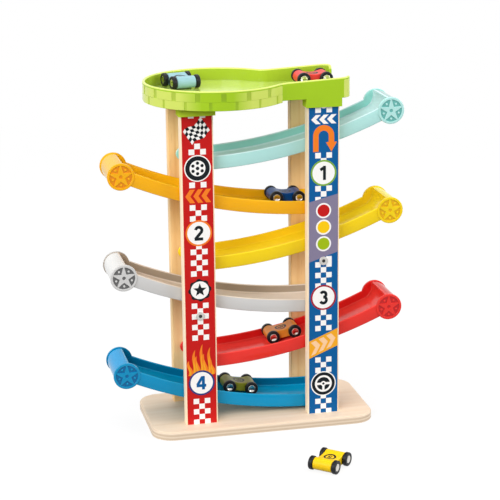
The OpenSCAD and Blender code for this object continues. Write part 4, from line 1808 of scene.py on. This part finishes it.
blue_label = Label(1)
chequers(blue_label, BLUE_CHECKS)
chevrons(blue_label, height=337.6, ink="white", tall=9.8)
turning_arrow(blue_label, height=316.0)
roundel(blue_label, "1", height=279.8, ring="green")
field(blue_label, *PANEL_EDGES, ink="violet")
for light, light_z in LIGHTS.items():
    blue_label.disc(light_z, LIGHT_RING_R, "white", 2)
    blue_label.disc(light_z, LIGHT_R, light, 3)
roundel(blue_label, "3", height=141.7, ring="crimson")
field(blue_label, *BAND_EDGES, ink="amber")
chevrons(blue_label, height=BAND_Z, ink="peach", tall=15.0, heading=1, slope=BAND_SLOPE, layer=2)
steering_wheel(blue_label, height=42.9)
blue_label.cast("blue_label_print", "tower", "blue_print", [inks[ink] for ink in INK_ORDER])
print("blue label:", len(blue_label.faces), "faces")

# %% [markdown]
# ## The cars
# Each car is a turned-looking block of wood: two round ends joined by a hollow saddle, with a
# ringed number printed on the saddle, four black wheels and four dished hub caps. The CAD frame
# already says where each car stands: its two axles give the middle, the heading and the slope,
# so one set of functions makes all six.

# %% Where the cars stand
def middle(node):
    low, high = box_mm(node)
    return (low + high) / 2


def car_place(car):
    """Turns a point of the car, nose along +X and axles at height 0, to its place on the toy."""
    front = middle(f"{car}_car_front_axle")
    rear = middle(f"{car}_car_rear_axle")
    nose = (front - rear).normalized()
    side = Vector((0, 0, 1)).cross(nose).normalized()
    roof = nose.cross(side)
    centre = (front + rear) / 2
    return lambda p: tuple(centre + nose * p[0] + side * p[1] + roof * p[2])


for car in PAINTS:
    print(car, "car stands at", [round(x, 1) for x in car_place(car)((0, 0, 0))])

# %% Car body
WHEELBASE = 25.0
CAR_HALF_W = 10.7
BARREL_R = 6.4
BARREL_STEPS = 34
SADDLE_UP = 4.1
SADDLE_R = ((WHEELBASE / 2) ** 2 + SADDLE_UP**2 - BARREL_R**2) / (2 * (BARREL_R - SADDLE_UP))
SADDLE_STEPS = 14
BELLY = 5.0


def car_outline():
    """The body seen from the side: barrel, saddle, barrel and flat belly."""
    half_base = WHEELBASE / 2
    touch = math.degrees(math.atan2(SADDLE_UP + SADDLE_R, half_base))
    dip = math.degrees(math.asin(BELLY / BARREL_R))
    rear = arc((-half_base, 0), BARREL_R, touch, 360 - dip, BARREL_STEPS)
    nose_end = arc((half_base, 0), BARREL_R, 180 + dip, 540 - touch, BARREL_STEPS)
    saddle = arc((0, SADDLE_UP + SADDLE_R), SADDLE_R, 360 - touch, 180 + touch, SADDLE_STEPS)
    return rear + nose_end + saddle[1:-1]


def car_body():
    outline = car_outline()
    return loft([[(x, y, z) for x, z in outline] for y in (-CAR_HALF_W, CAR_HALF_W)])


print("car body: saddle radius", round(SADDLE_R, 1), "mm")

# %% Number and ring
PRINT_ROOT = 0.05
RING_INNER = 4.5
RING_OUTER = 6.6
RING_STEPS = 48
NUMBER_H = 6.6


def on_saddle(skin):
    """Lets a flat print follow the saddle's curve."""
    points, faces = skin
    saddle_top = SADDLE_UP + SADDLE_R
    return [(x, y, saddle_top - math.sqrt(SADDLE_R**2 - x**2) + z) for x, y, z in points], faces


def ring_print():
    """The ring round the number."""
    lower = [(RING_INNER, -PRINT_ROOT), (RING_OUTER, -PRINT_ROOT)]
    upper = [(RING_OUTER, INK_T), (RING_INNER, INK_T)]
    return on_saddle(turned(lower + upper, RING_STEPS))


def number_print(figure):
    """A numeral on the saddle, its top towards the nose, as skins stroke by stroke."""
    skins = []
    for k, outline in enumerate(numeral(figure, NUMBER_H)):
        laid = [(y, -x) for x, y in outline]
        skins.append(on_saddle(plate(laid, -PRINT_ROOT, INK_T * (k + 1))))
    return skins


print("number:", NUMBER_H, "mm tall in a ring of radius", RING_OUTER, "mm")

# %% Cast the car bodies
BODY_EDGE = 0.9
NUMBERS = {"sky": "3", "red": "7", "navy": "6", "orange": "8", "olive": "9", "yellow": "5"}


def cast_body(car, figure):
    body = f"{car}_car"
    paint = f"{car}_paint"
    place = car_place(car)
    shell = Mould()
    shell.add(car_body(), 0, place)
    shell.cast(f"{car}_body", body, paint, [paints[car]], [f"{car}_car_body"], edge=BODY_EDGE)
    roof_print = Mould()
    for skin in [ring_print()] + number_print(figure):
        roof_print.add(skin, 0, place)
    roof_print.cast(f"{car}_number", body, paint, [inks["black"]])


for car, figure in NUMBERS.items():
    cast_body(car, figure)
print("car bodies:", len(NUMBERS))

# %% Wheels
WHEEL_R = 7.25
WHEEL_W = 4.6
WHEEL_BORE_GAP = 0.05
SHOULDER_R = 1.1
SHOULDER_STEPS = 5
AXLE_R = 1.25
CAP_R = 4.0
CAP_SEAT = 1.2
CAP_SEAT_GAP = 0.15
CAP_SEAT_EDGE = 0.3


def wheel_profile():
    """Half of a wheel's section, from its bore outwards: round shoulders, a seat for the cap."""
    inner = arc((WHEEL_R - SHOULDER_R, SHOULDER_R), SHOULDER_R, -90, 0, SHOULDER_STEPS)
    outer = arc((WHEEL_R - SHOULDER_R, WHEEL_W - SHOULDER_R), SHOULDER_R, 0, 90, SHOULDER_STEPS)
    bore = AXLE_R + WHEEL_BORE_GAP
    seat = CAP_R + CAP_SEAT_GAP
    return [
        (bore, 0), *inner, *outer, (seat + CAP_SEAT_EDGE, WHEEL_W), (seat, WHEEL_W - CAP_SEAT_EDGE),
        (seat, WHEEL_W - CAP_SEAT), (bore, WHEEL_W - CAP_SEAT),
    ]


print("wheel:", 2 * WHEEL_R, "mm across and", WHEEL_W, "mm wide")

# %% Axles and hub caps
WHEEL_GAP = 0.4
WHEEL_FOOT = CAR_HALF_W + WHEEL_GAP
CAP_T = 0.9
CAP_RIM = 0.3
CAP_RIM_TURN = 120
CAP_RIM_STEPS = 6
CAP_DISH = 0.95
CAP_DISH_STEPS = 8
AXLE_HALF = WHEEL_FOOT + WHEEL_W - CAP_SEAT + CAP_T


def axle_profile():
    """A pin with a cap at each end: a rolled rim round a hollow like a shallow bowl."""
    rim = arc((CAP_R - CAP_RIM, -CAP_RIM), CAP_RIM, 0, CAP_RIM_TURN, CAP_RIM_STEPS)
    bowl_r, bowl_top = rim[-1]
    shares = [k / CAP_DISH_STEPS for k in reversed(range(CAP_DISH_STEPS))]
    dish = [(bowl_r * share, bowl_top - CAP_DISH * (1 - share**2)) for share in shares]
    half_pin = [(AXLE_R, AXLE_HALF - CAP_T), (CAP_R, AXLE_HALF - CAP_T)]
    half_pin += [(r, AXLE_HALF + h) for r, h in rim + dish]
    return half_pin[::-1] + [(r, -h) for r, h in half_pin]


def is_dish(points):
    """The hollow of a cap is polished; the pin, which reaches both sides, isn't."""
    inside = max(math.hypot(p[0], p[1]) for p in points) < CAP_R - CAP_RIM
    heights = [p[2] for p in points]
    return 1 if inside and min(heights) * max(heights) > 0 else 0


print("axle:", round(2 * AXLE_HALF, 1), "mm over its caps")

# %% Cast the wheel sets
WHEEL_STEPS = 48
AXLE_STEPS = 40


def cast_wheels(car, end):
    reach = WHEELBASE / 2 if end == "front" else -WHEELBASE / 2
    place = car_place(car)
    body = f"{car}_{end}_wheelset"
    wheels = Mould()
    for y in (-1, 1):
        wheel = turned(wheel_profile(), WHEEL_STEPS)
        wheels.add(wheel, 0, lambda p: place((p[0] + reach, y * (WHEEL_FOOT + p[2]), p[1])))
    wheels.cast(f"{car}_{end}_tyres", body, "black_wheel", [tyre_black], [f"{car}_car_{end}_wheels"])
    axle = Mould()
    axle.add(turned(axle_profile(), AXLE_STEPS), is_dish, lambda p: place((p[0] + reach, p[2], p[1])))
    axle.cast(f"{car}_{end}_hubs", body, "hub_metal", [hub_metal, dish_metal], [f"{car}_car_{end}_axle"])


for car in NUMBERS:
    for end in ("front", "rear"):
        cast_wheels(car, end)
print("wheel sets:", 2 * len(NUMBERS))
